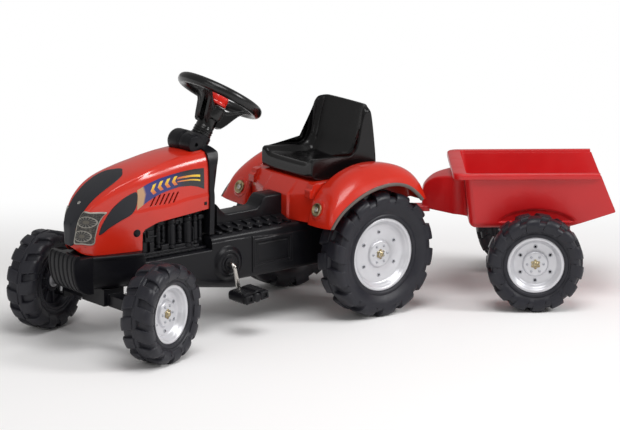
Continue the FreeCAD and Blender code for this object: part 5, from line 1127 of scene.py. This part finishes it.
# dash: a band round the bonnet's rear edge, a cross barrel over it and the collar of the column
dash = {
    "bead": 0.0012, "tuck": 0.985, "drop": 0.001, "clear": 0.0002, "above": 0.6,
    "front": 0.3717, "grow": 0.0036, "low": 0.2083, "neckY": mm([-24.5, -23.5, 23.5, 24.5]), "rest": 0.384,
    "rear": mm([(208, 358.7), (262, 359), (305, 359.2), (340, 358.5), (360, 350), (383, 343), (396, 346),
                (400, 352)]),
    "at": (0.3835, 0, 0.4015),
    "barrel": mm([(0, 30), (3.6, 30.4), (4.2, 37.2), (16, 37.2), (17.8, 36.6), (18.9, 34.6), (19.5, 31),
                  (20.4, 24), (21.6, 16), (22.6, 8), (22.1, 6.2), (21.6, 5), (22, 3.4), (23.4, 1.2),
                  (24.5, -2), (25.1, -7), (25.2, -26), (24.6, -31.6), (22.8, -35), (19, -36.8),
                  (0, -37.2)]),
    "neck": mm([(346, 383), (371.5, 392.5), (384, 394), (389, 400), (389, 422.5), (378, 425.5),
                (364, 421.5), (352, 411)]),
    "collar": mm([(6.2, 5.2), (21.6, 5.2), (22.8, 4.4), (23.2, 3), (23.2, -6), (22.2, -6.8), (22.2, -8.4),
                  (23.8, -9.4), (24.6, -30), (6.2, -30)]),
}
band = [p for p in bonnetRing(0, dash["grow"], 0, 120) if p[2] >= dash["low"]]
rows = [[(dash["front"], y, z) for x, y, z in band],
        [(table(dash["rear"], z) + dash["bead"], y, z) for x, y, z in band],
        [(table(dash["rear"], z), y * dash["tuck"], z - dash["drop"]) for x, y, z in band]]
barrel = moved(turned(dash["barrel"], 72, closed=False), shift(*dash["at"]))
seated = []
for x, y, z in barrel[0]:
    under = skinTree.ray_cast(Vector((x, y, dash["above"])), Vector((0, 0, -1)))[0]
    seated.append((x, y, max(z, under.z + dash["clear"] if under else dash["rest"])))
parts = [ribbon(rows), (seated, barrel[1]), moved(upTurned(dash["collar"], 56), column)]
parts.append(prism(dash["neck"], *dash["neckY"]))
show("dash.band", joined(parts), "frame_black", ["dash"], sharp=38.0)
print("dash on")

# engine relief behind the bonnet's side cut-outs: pots, pipes and housings standing on a back plate, and
# higher up a dark plate behind the louvres that is painted shade for the inside of the bonnet
engine = {
    "plate": mm((376, 537, 182, 268)), "back": 0.040, "face": 0.0465, "upper": mm((400, 540, 268, 345)),
    "upperFace": 0.0430, "pipe": 0.0019, "potShare": 0.25, "pipeY": 0.0535,
    "pots": mm([(384.5, 200, 246, 5), (398.5, 196, 258, 6.8), (419, 193, 262, 10.8), (439.5, 204, 243, 7.2),
                (461, 196, 262, 11), (480, 210, 246, 4.8), (493.5, 200, 250, 6.4)]),
    "blocks": mm([(376, 537, 182, 188.5, 60), (392, 532, 188.5, 194.5, 57), (404, 470, 194.5, 201, 54.5),
                  (504, 534, 194.5, 240, 51.5), (508, 520, 194.5, 216, 57), (470, 489, 194.5, 206, 56),
                  (430, 450, 243, 256, 52), (376, 392, 246, 256, 54)]),
    "pipes": mm([[(529, 236), (529, 218), (513, 218), (513, 200)], [(522.5, 240), (522.5, 227), (500, 227)],
                 [(439.5, 243), (439.5, 252), (461, 252)], [(406, 203), (406, 230), (419, 240)]]),
    # a pot's outline: share of its radius, and millimetres from its top or its foot
    "potTop": [(0, 0), (0.55, 0), (0.66, -0.8), (0.7, -4), (0.92, -5.2), (1, -6.8), (1, -13), (0.86, -14),
               (0.86, -16.5), (0.97, -17.5)],
    "potFoot": [(0.97, 9), (0.82, 7.8), (0.82, 5.5), (1.05, 4.5), (1.05, 0), (0, 0)],
    "stud": mm([(0, 1.6), (1.2, 1.5), (2, 0.8), (2.2, 0), (0, 0)]), "studs": 9, "studPitch": 0.0175,
    "studAt": mm((386, 60, 185.2)),
}


def pot(x, z0, z1, r, y):
    line = [(r * a, z1 + mm(b)) for a, b in engine["potTop"]]
    line += [(r * a, z0 + mm(b)) for a, b in engine["potFoot"]]
    return moved(upTurned(line, 28), shift(x, y, 0))


parts = [slab(*engine["plate"], engine["back"], engine["face"])]
parts += [pot(x, a, b, r, engine["face"] + r * engine["potShare"]) for x, a, b, r in engine["pots"]]
parts += [slab(a, b, c, d, engine["back"], y) for a, b, c, d, y in engine["blocks"]]
for points in engine["pipes"]:
    path = [Vector((x, engine["pipeY"], z)) for x, z in points]
    parts.append(swept(path, engine["pipe"], Vector((0, 1, 0)), 10))
# a dark plate behind the louvres, put there as painted shade so the slits read dark
parts.append(slab(*engine["upper"], engine["back"], engine["upperFace"]))
for k in range(engine["studs"]):
    x, y, z = engine["studAt"]
    parts.append(moved(turned(engine["stud"], 12), shift(x + engine["studPitch"] * k, y, z)))
for word, side in sides:
    made = moved(joined(parts), mirror(side))
    show("engine." + word, made, "frame_black", ["engine_" + word], sharp=35.0)
print("engines on")

# bonnet fastenings: a dark plug low on each side, a square screw by the rear edge, a pale one on the grille
fastening = {"plug": mm([(0, 2.2), (3.6, 2.2), (6.2, 1.9), (8, 0.8), (8.2, -3), (0, -3)]),
             "plugAt": (0.554, 0.242),
             "screw": mm((-3.4, 3.4, -3.4, 3.4, -2, 1.2, 0.6)), "screwAt": (0.381, 0.281),
             "pin": mm([(0, 3.8), (2.4, 3.5), (3.8, 2.4), (4, -1), (0, -1)]),
             "pinFrom": (0.7127, 0, 0.3430), "pinAim": (-0.060, 0, -0.035)}


def seatedOn(start, aim):
    hit, normal = struck(start, aim)
    return Matrix.Translation(hit) @ normal.to_track_quat("Y", "Z").to_matrix().to_4x4()


for word, side in sides:
    at = seatedOn(*sideRay(side)(*fastening["plugAt"]))
    show("plug." + word, turned(fastening["plug"], 32), "frame_black", ["bonnet_plugs"], at=at)
    at = seatedOn(*sideRay(side)(*fastening["screwAt"]))
    show("screw." + word, slab(*fastening["screw"]), "bright_steel", ["bonnet_screws"], at=at,
         finish=finishes["frameBlack"])
at = seatedOn(Vector(fastening["pinFrom"]), Vector(fastening["pinAim"]).normalized())
show("grillePin", turned(fastening["pin"], 24), "bright_steel", at=at)

# bumper weight: upright ribs over the whole curved front
bumper = {"half": 0.046, "ribs": 6, "deep": 0.0032, "soft": 0.0022, "steps": 120,
          "grooveEdge": (0.10, 0.20), "grooveEnd": 0.985, "endFrom": 0.955,
          "line": mm([(655, 125), (670, 126.2), (682, 130), (691.5, 137.5), (698.5, 150), (703, 166),
                      (705, 182), (704.5, 196), (702, 206), (697.5, 210.2), (690, 211), (688, 211),
                      (688, 202.7), (655, 202.7)])}
rows = []
for share in [2 * t - 1 for t in shares(bumper["steps"])]:
    beat = (share / 2 + 0.5) * bumper["ribs"] % 1.0
    groove = 1 - smooth(*bumper["grooveEdge"], abs(beat - 0.5)) if abs(share) < bumper["grooveEnd"] else 0.0
    depth = bumper["deep"] * groove + bumper["soft"] * smooth(bumper["endFrom"], 1, abs(share))
    row = []
    for j, (x, z) in enumerate(bumper["line"]):
        cut = depth if 2 <= j <= 9 else 0.0
        x -= cut * (0.92 if j < 9 else 0.5)
        row.append((x, bumper["half"] * share, z + (cut * 0.5 if j < 5 else 0.0)))
    rows.append(row)
show("bumper.weight", ribbon(rows), "frame_black", ["bumper"], sharp=30.0)

# pedals: a chunky block with tread bars, a waist groove and two prongs at its outer end, a little tipped
pedal = {"half": 0.032, "tall": 0.0115, "inner": 0.1005, "long": 0.0615, "tip": 7.0, "skin": 0.0012,
         "bars": 5, "barFirst": 0.004, "barPitch": 0.0094, "barWide": 5.4, "barX": (0.0062, 0.025),
         "blockEnd": 0.012, "prongX": 0.0195, "nick": (0.003, 0.002),
         "at": {"left": (0.3189, 0, 0.08742), "right": (0.3451, 0, 0.20658)},
         "edge": [(0, 0.45), (1.2, 0.72), (4, 0.9), (9, 1)], "waist": mm([6, 4]), "waistShare": 0.88,
         "prong": mm([(-9, -8.8), (9, -8.8), (10.2, -7.4), (10.2, 7.4), (9, 8.8), (-9, 8.8), (-10.2, 7.4),
                      (-10.2, -7.4)]),
         "prongRun": [(-12.5, 1), (-1.5, 1), (0, 0.88), (0, 0.55), (-3.5, 0.5)]}


def pedalParts():
    half, tall, inner, skin = pedal["half"], pedal["tall"], pedal["inner"], pedal["skin"]
    outer = inner + pedal["long"]
    stations = [(-half + mm(a), share) for a, share in pedal["edge"]]
    stations += [(-pedal["waist"][0], 1), (-pedal["waist"][1], pedal["waistShare"])]
    stations += [(-x, share) for x, share in reversed(stations)]
    rows = []
    for x, share in stations:
        t = tall * share - skin
        start = inner + (pedal["nick"][1] if abs(x) > half - pedal["nick"][0] else 0.0)
        end = outer - pedal["blockEnd"]
        line = [(start, -t), (end, -t), (end + skin, skin - t)]
        line += [(y, -z) for y, z in reversed(line)]
        rows.append([(x, y, z) for y, z in line])
    parts = [ribbon(rows)]
    for k in range(pedal["bars"]):
        y, wide = inner + pedal["barFirst"] + pedal["barPitch"] * k, pedal["barWide"]
        bar = offset(y, tall, [(0, -1.6), (0, -0.4), (0.6, 0), (wide - 0.6, 0), (wide, -0.4), (wide, -1.6)])
        for word, side in sides:
            for flip in (1, -1):
                parts.append(ribbon([[(x * side, a, b * flip) for a, b in bar] for x in pedal["barX"]]))
    for x in (-pedal["prongX"], pedal["prongX"]):
        rings = []
        for run, grow in pedal["prongRun"]:
            rings.append([(x + a * grow, outer + mm(run), b * grow) for a, b in pedal["prong"]])
        parts.append(ribbon(rings))
    return moved(joined(parts), around(pedal["tip"], "Y"))


for word, side in sides:
    made = moved(pedalParts(), shift(*pedal["at"][word]) @ mirror(side))
    show("pedal." + word, made, "frame_black", ["pedal_" + word], "pedal_" + word, 35)

# crank: one steel rod with round bends
crank = {"arm": 0.097, "throw": 0.061, "pin": 0.160, "rod": 0.005, "bend": 0.011, "turn": 12.4, "steps": 20,
         "at": (0.332, 0, 0.147)}
arm, throw, pin = crank["arm"], crank["throw"], crank["pin"]
corners = [(-pin, throw), (-arm, throw), (-arm, 0), (arm, 0), (arm, -throw), (pin, -throw)]
corners = [Vector((0, y, z)) for y, z in corners]
path = [corners[0]]
for a, b, c in zip(corners, corners[1:], corners[2:]):
    near, past = [b + (end - b).normalized() * crank["bend"] for end in (a, c)]
    path += [(1 - t) ** 2 * near + 2 * t * (1 - t) * b + t * t * past for t in shares(10)]
path.append(corners[-1])
spin = shift(*crank["at"]) @ around(crank["turn"], "Y")
rod = swept(path, crank["rod"], Vector((1, 0, 0)), crank["steps"])
show("crank.rod", moved(rod, spin), "bright_steel", ["crank"], "crank")

# drawbar: a hump that narrows from the tub to the hitch, and a flat arm with its eye
hump = {"x": mm([-196, -175, -152, -136, -123.5, -116, -112, -109.8, -109]),
        "half": mm([58, 45.5, 33, 24, 17, 13.5, 12, 10.8, 9.5]),
        "top": mm([267.5, 266, 263, 258.5, 251, 243.5, 237, 229, 220]),
        "low": mm([179, 181.5, 184, 185.6, 187, 187.8, 188.2, 188.6, 189]), "soft": 0.0045,
        "eye": mm([(6.6, 181.2), (17.2, 181.2), (18, 182), (18, 192.2), (17.2, 193), (6.6, 193)]),
        "arm": mm([(-125, 16), (-100, 16.5), (-30, 16.5), (-12.5, 12.8)]), "armZ": mm([181.2, 192.2, 193]),
        "softShare": 0.6, "foot": 0.0015, "crown": (0.4, 0.0004), "seamGap": 0.0004, "armSoft": 0.0008}


def humpRing(t):
    x, half, top, low = [curveThrough(list(range(9)), hump[key], t) for key in ("x", "half", "top", "low")]
    soft = min(hump["soft"], half * hump["softShare"])
    flank = [(half - hump["foot"], low), (half, low + hump["foot"])]
    flank += rounded(half - soft, top - soft, soft, range(0, 91, 18))
    flank.append((half * hump["crown"][0], top + hump["crown"][1]))
    seam = max(0, 1 - t)
    ring = flank + [(-y, z) for y, z in reversed(flank)]
    return [(lerp(x, tubFront(z) + hump["seamGap"], seam), y, z) for y, z in ring]


rings = []
for x, w in hump["arm"]:
    low, edge, top = hump["armZ"]
    lid = w - hump["armSoft"]
    line = [(-w, low), (w, low), (w, edge), (lid, top), (-lid, top), (-w, edge)]
    rings.append([(x, y, z) for y, z in line])
parts = [ribbon([humpRing(8 * t) for t in shares(48)]), upTurned(hump["eye"], 48), ribbon(rings)]
showTowed("drawbar.hump", meshOf("drawbarHump", joined(parts)), "drawbar")
print("bumper, pedals and drawbar on")

# frame: one skin per half through sections along its length, with sunk panel, crank dome, seam and belly
hull = {
    "bandEdge": mm((194.5, 195.5)), "topEdge": mm((193.8, 195)), "topFallRun": mm((300, 170)),
    "seamLow": mm((112, 116)), "seamHigh": mm((192, 195)), "nosePower": 1.35, "boreStretch": 1.19,
    "half": 0.075, "nose": 0.045, "tail": -0.060, "front": 0.6548, "ledge": 0.543, "wall": 0.372,
    "block": 0.110,
    "deck": 0.208, "seatTop": 0.2878, "shelf": 0.182, "noseTop": 0.2026, "deckEdge": 0.011, "edge": 0.004,
    "low": mm([(300, 105), (306, 88), (312, 87.2), (405, 102), (470, 126.5)]),
    "round": mm([(298, 12), (312, 18), (400, 20), (500, 36)]),
    "tunnel": mm([(150, 262), (189, 262), (193, 261), (200, 254.5), (207, 244), (213, 239.5), (220, 238.2),
                  (292, 238), (301, 240.2), (309, 247), (316, 256), (321.6, 262)]),
    "tunnelHalf": 0.024, "crown": [(23.6, -4), (23, -2), (21.6, -0.6), (19.6, 0)], "slope": (0.055, 0.33),
    "crank": (0.332, 0.147), "axle": (0, 0.135), "crankBore": 0.0088, "axleBore": 0.0105,
    "column": (0.348, 0.407, 0.6494), "bore": 0.0105, "dome": 0.0088, "domeEdge": (0.0385, 0.0265),
    "ring": (0.0195, 0.0222), "ringSunk": 0.0016, "bandOut": 0.0014, "topSunk": 0.0013, "topFall": 0.0065,
    "seam": (0.2655, 0.2690), "seamSunk": 0.0022, "fine": 0.001,
    # the side panel's steps: height, then from and to along X and along Z
    "panel": mm([(1.2, 159, 261.8, 125.8, 186.2), (-3.4, 166.8, 255, 131.8, 179),
                 (1.1, 171.8, 250, 136.8, 174)]),
}


def window(low, high, v, soft=0.0012):
    return smooth(low, low + soft, v) - smooth(high, high + soft, v)


def bulge(x, z):
    # how far the side stands out of its plane
    r = math.hypot(x - hull["crank"][0], z - hull["crank"][1])
    out = hull["dome"] * smooth(*hull["domeEdge"], r)
    out -= hull["ringSunk"] * window(*hull["ring"], r, hull["fine"])
    if x > hull["ledge"]:
        return out + hull["bandOut"] * smooth(*hull["bandEdge"], z)
    out -= hull["topSunk"] * smooth(*hull["topEdge"], z + hull["topFall"] * smooth(*hull["topFallRun"], x))
    for high, x0, x1, z0, z1 in hull["panel"]:
        out += high * window(x0, x1, x) * window(z0, z1, z)
    seam = window(*hull["seam"], x, hull["fine"])
    seam *= smooth(*hull["seamLow"], z) - smooth(*hull["seamHigh"], z)
    return out - hull["seamSunk"] * seam


def hullRing(x, top, tunnel):
    span = (x - hull["ledge"]) / (hull["front"] - hull["ledge"])
    half = hull["half"] - (hull["half"] - hull["nose"]) * max(0, span) ** hull["nosePower"]
    low, bend = table(hull["low"], x), table(hull["round"], x)
    edge = hull["deckEdge"] if top == hull["deck"] else hull["edge"]

    def slot(z):
        # half width of the passage that the leaning column leaves at the middle
        foot, level, lean = hull["column"]
        off = (x - foot - (level - z) * lean) / (hull["bore"] * hull["boreStretch"])
        return hull["bore"] * math.sqrt(1 - off * off) if abs(off) < 1 else 0.0

    ring = [(lerp(slot(low), half - bend, t), low) for t in shares(5)]
    ring += rounded(half - bend, low + bend, bend, range(-80, -9, 10))
    for z in [lerp(low + bend, top - edge, t) for t in shares(64)]:
        ring.append((half + bulge(x, z), z))
    lid = half + bulge(x, top - edge) - edge
    ring += rounded(lid, top - edge, edge, range(15, 91, 15))
    end = hull["tunnelHalf"] if tunnel else slot(top)
    brink, steep = hull["slope"]
    for y in [lerp(lid, end, t) for t in shares(14)[1:]]:
        ring.append((y, top + (max(0, brink - y) * steep if tunnel else 0.0)))
    if tunnel:
        crown = table(hull["tunnel"], x)
        ring += offset(0, crown, hull["crown"]) + [(0, crown)]
    else:
        ring += [(end, top)] * 5
    return [(x, y, z) for y, z in ring]


def paces(a, b, step):
    count = max(1, round((b - a) / step))
    return [lerp(a, b, t) for t in shares(count)]


# runs of sections: from, to, step, height of the top, and whether the tunnel stands on it
runs = [(hull["tail"], -0.016, 0.0088, hull["seatTop"], False),
        (-0.016, 0.016, 0.0016, hull["seatTop"], False),
        (0.016, hull["block"], 0.012, hull["seatTop"], False),
        (hull["block"], 0.1500, 0.005, hull["deck"], False), (0.1500, 0.3216, 0.0012, hull["deck"], True),
        (0.3217, hull["wall"], 0.0013, hull["deck"], False),
        (hull["wall"], 0.482, 0.005, hull["shelf"], False),
        (0.482, hull["ledge"], 0.0015, hull["shelf"], False),
        (hull["ledge"], hull["front"], 0.004, hull["noseTop"], False)]
rings = []
for a, b, step, top, tunnel in runs:
    rings += [hullRing(x, top, tunnel) for x in paces(a, b, step)]
verts, faces = ribbon(rings, loop=False)


def inBore(face):
    mid = [sum(verts[k][j] for k in face) / len(face) for j in range(3)]
    for (x, z), bore in ((hull["crank"], hull["crankBore"]), (hull["axle"], hull["axleBore"])):
        if len(face) == 4 and mid[1] > 0.05 and math.hypot(mid[0] - x, mid[2] - z) < bore:
            return True
    return False


faces = [face for face in faces if not inBore(face)]

# tread lugs of the foot decks: slanted bars in two rows, one on the slope beside the tunnel
lugs = {"long": 0.0155, "wide": 0.0085, "tall": 0.0042, "pitch": 0.026, "skew": -0.0050,
        "ends": [(0, -0.3), (0, 0.62), (0.05, 0.9), (0.16, 1), (0.84, 1), (0.95, 0.9), (1, 0.62),
                 (1, -0.3)],
        "section": [(-1, -0.7), (-0.82, 0), (0.82, 0), (1, -0.7)],
        # first bar's X, the row's Y and Z, its tilt and its number of bars
        "rows": [(0.176, 0.0275, 0.2170, 0.33, 6), (0.163, 0.0500, 0.2096, 0.06, 8)]}


def lug(x, y, z, tilt):
    rings = []
    for share, rise in lugs["ends"]:
        lift = z + lugs["tall"] * rise - tilt * lugs["long"] * share
        slide = x + lugs["skew"] * (share - 0.5)
        rings.append([(slide + lugs["wide"] / 2 * a, y + lugs["long"] * share, lift + lugs["tall"] * b)
                      for a, b in lugs["section"]])
    return ribbon(rings)


parts = [(verts, faces)]
for x, y, z, tilt, count in lugs["rows"]:
    parts += [lug(x + lugs["pitch"] * k, y, z, tilt) for k in range(count)]
for word, side in sides:
    show("frame." + word, moved(joined(parts), mirror(side)), "frame_black", ["frame_" + word], sharp=32.0)
print("frame on")


def stood(name, data, at, aim):
    # a camera or lamp at a point, looking along a direction
    made = bpy.data.objects.new(name, data)
    scene.collection.objects.link(made)
    made.location = at
    made.rotation_mode = "QUATERNION"
    made.rotation_quaternion = aim.to_track_quat("-Z", "Y")
    return made


# camera where the photographer stood
lensOf = {"at": (5.19705, 6.619496, 2.225496), "yaw": -127.843, "pitch": -13.616, "focal": 4000.0,
          "width": 620.0}
camera = bpy.data.cameras.new("shot")
camera.sensor_width = 36.0
camera.lens = lensOf["focal"] * camera.sensor_width / lensOf["width"]
camera.clip_end = 100.0
yaw, pitch = math.radians(lensOf["yaw"]), math.radians(lensOf["pitch"])
ahead = Vector((math.cos(pitch) * math.cos(yaw), math.cos(pitch) * math.sin(yaw), math.sin(pitch)))
scene.camera = stood("shot", camera, lensOf["at"], ahead)

# studio: pale floor that fades into white, big soft lamps
white = (1, 1, 1, 1)
studio = {"floor": srgb(246, 245, 245), "middle": (-0.05, 0.1), "fade": (1.1, 2.2), "behind": (0.35, 1),
          "view": (-0.613, -0.790), "half": 9.0, "fill": (1, 0.99, 0.98, 1), "fillStrength": 0.38}


def floorPaint(w):
    x, y = w.split(w.place())[:2]
    x, y = x - studio["middle"][0], y - studio["middle"][1]
    far = w.math("SQRT", x * x + y * y).ramp(*studio["fade"])
    deep = (x * studio["view"][0] + y * studio["view"][1]).ramp(*studio["behind"])
    lit = w.add("BsdfDiffuse", None, {"Color": studio["floor"]})
    glow = w.add("Emission", None, {"Color": white, "Strength": 1.0})
    return w.add("MixShader", None, {0: w.math("MAXIMUM", far, deep), 1: lit, 2: glow})


half = studio["half"]
floorMesh = bpy.data.meshes.new("floor")
corners = [(-half, -half, 0), (half, -half, 0), (half, half, 0), (-half, half, 0)]
floorMesh.from_pydata(corners, [], [(0, 1, 2, 3)])
floor = bpy.data.objects.new("floor", floorMesh)
scene.collection.objects.link(floor)
wear(floor, finishOf("studioFloor", floorPaint))

world = bpy.data.worlds.new("studio")
scene.world = world
world.use_nodes = True
world.node_tree.nodes.clear()
w = Wire(world.node_tree)
ray = w.add("LightPath", out="Is Camera Ray")
seen = w.math("MAXIMUM", ray, ray.other("Is Transmission Ray"))
backing = w.add("Background", None, {"Color": white, "Strength": 1.0})
fill = w.add("Background", None, {"Color": studio["fill"], "Strength": studio["fillStrength"]})
w.add("OutputWorld", None, {"Surface": w.add("MixShader", None, {0: seen, 1: fill, 2: backing})})

lamps = {
    "key": {"at": (0.6, 1.2, 3.2), "to": (0.1, 0.1, 0.2), "size": 1.8, "watts": 52.0},
    "right": {"at": (-2.2, 3.2, 2.6), "to": (0, 0, 0.2), "size": 1.2, "watts": 88.0},
    "front": {"at": (3.4, 1, 1.6), "to": (0.4, 0, 0.2), "size": 1.6, "watts": 8.0},
}
for name, lamp in lamps.items():
    light = bpy.data.lights.new(name, "AREA")
    light.shape = "RECTANGLE"
    light.size = light.size_y = lamp["size"]
    light.energy = lamp["watts"]
    stood(name, light, lamp["at"], Vector(lamp["to"]) - Vector(lamp["at"]))
scene.view_settings.view_transform = "Standard"
print("studio lit")
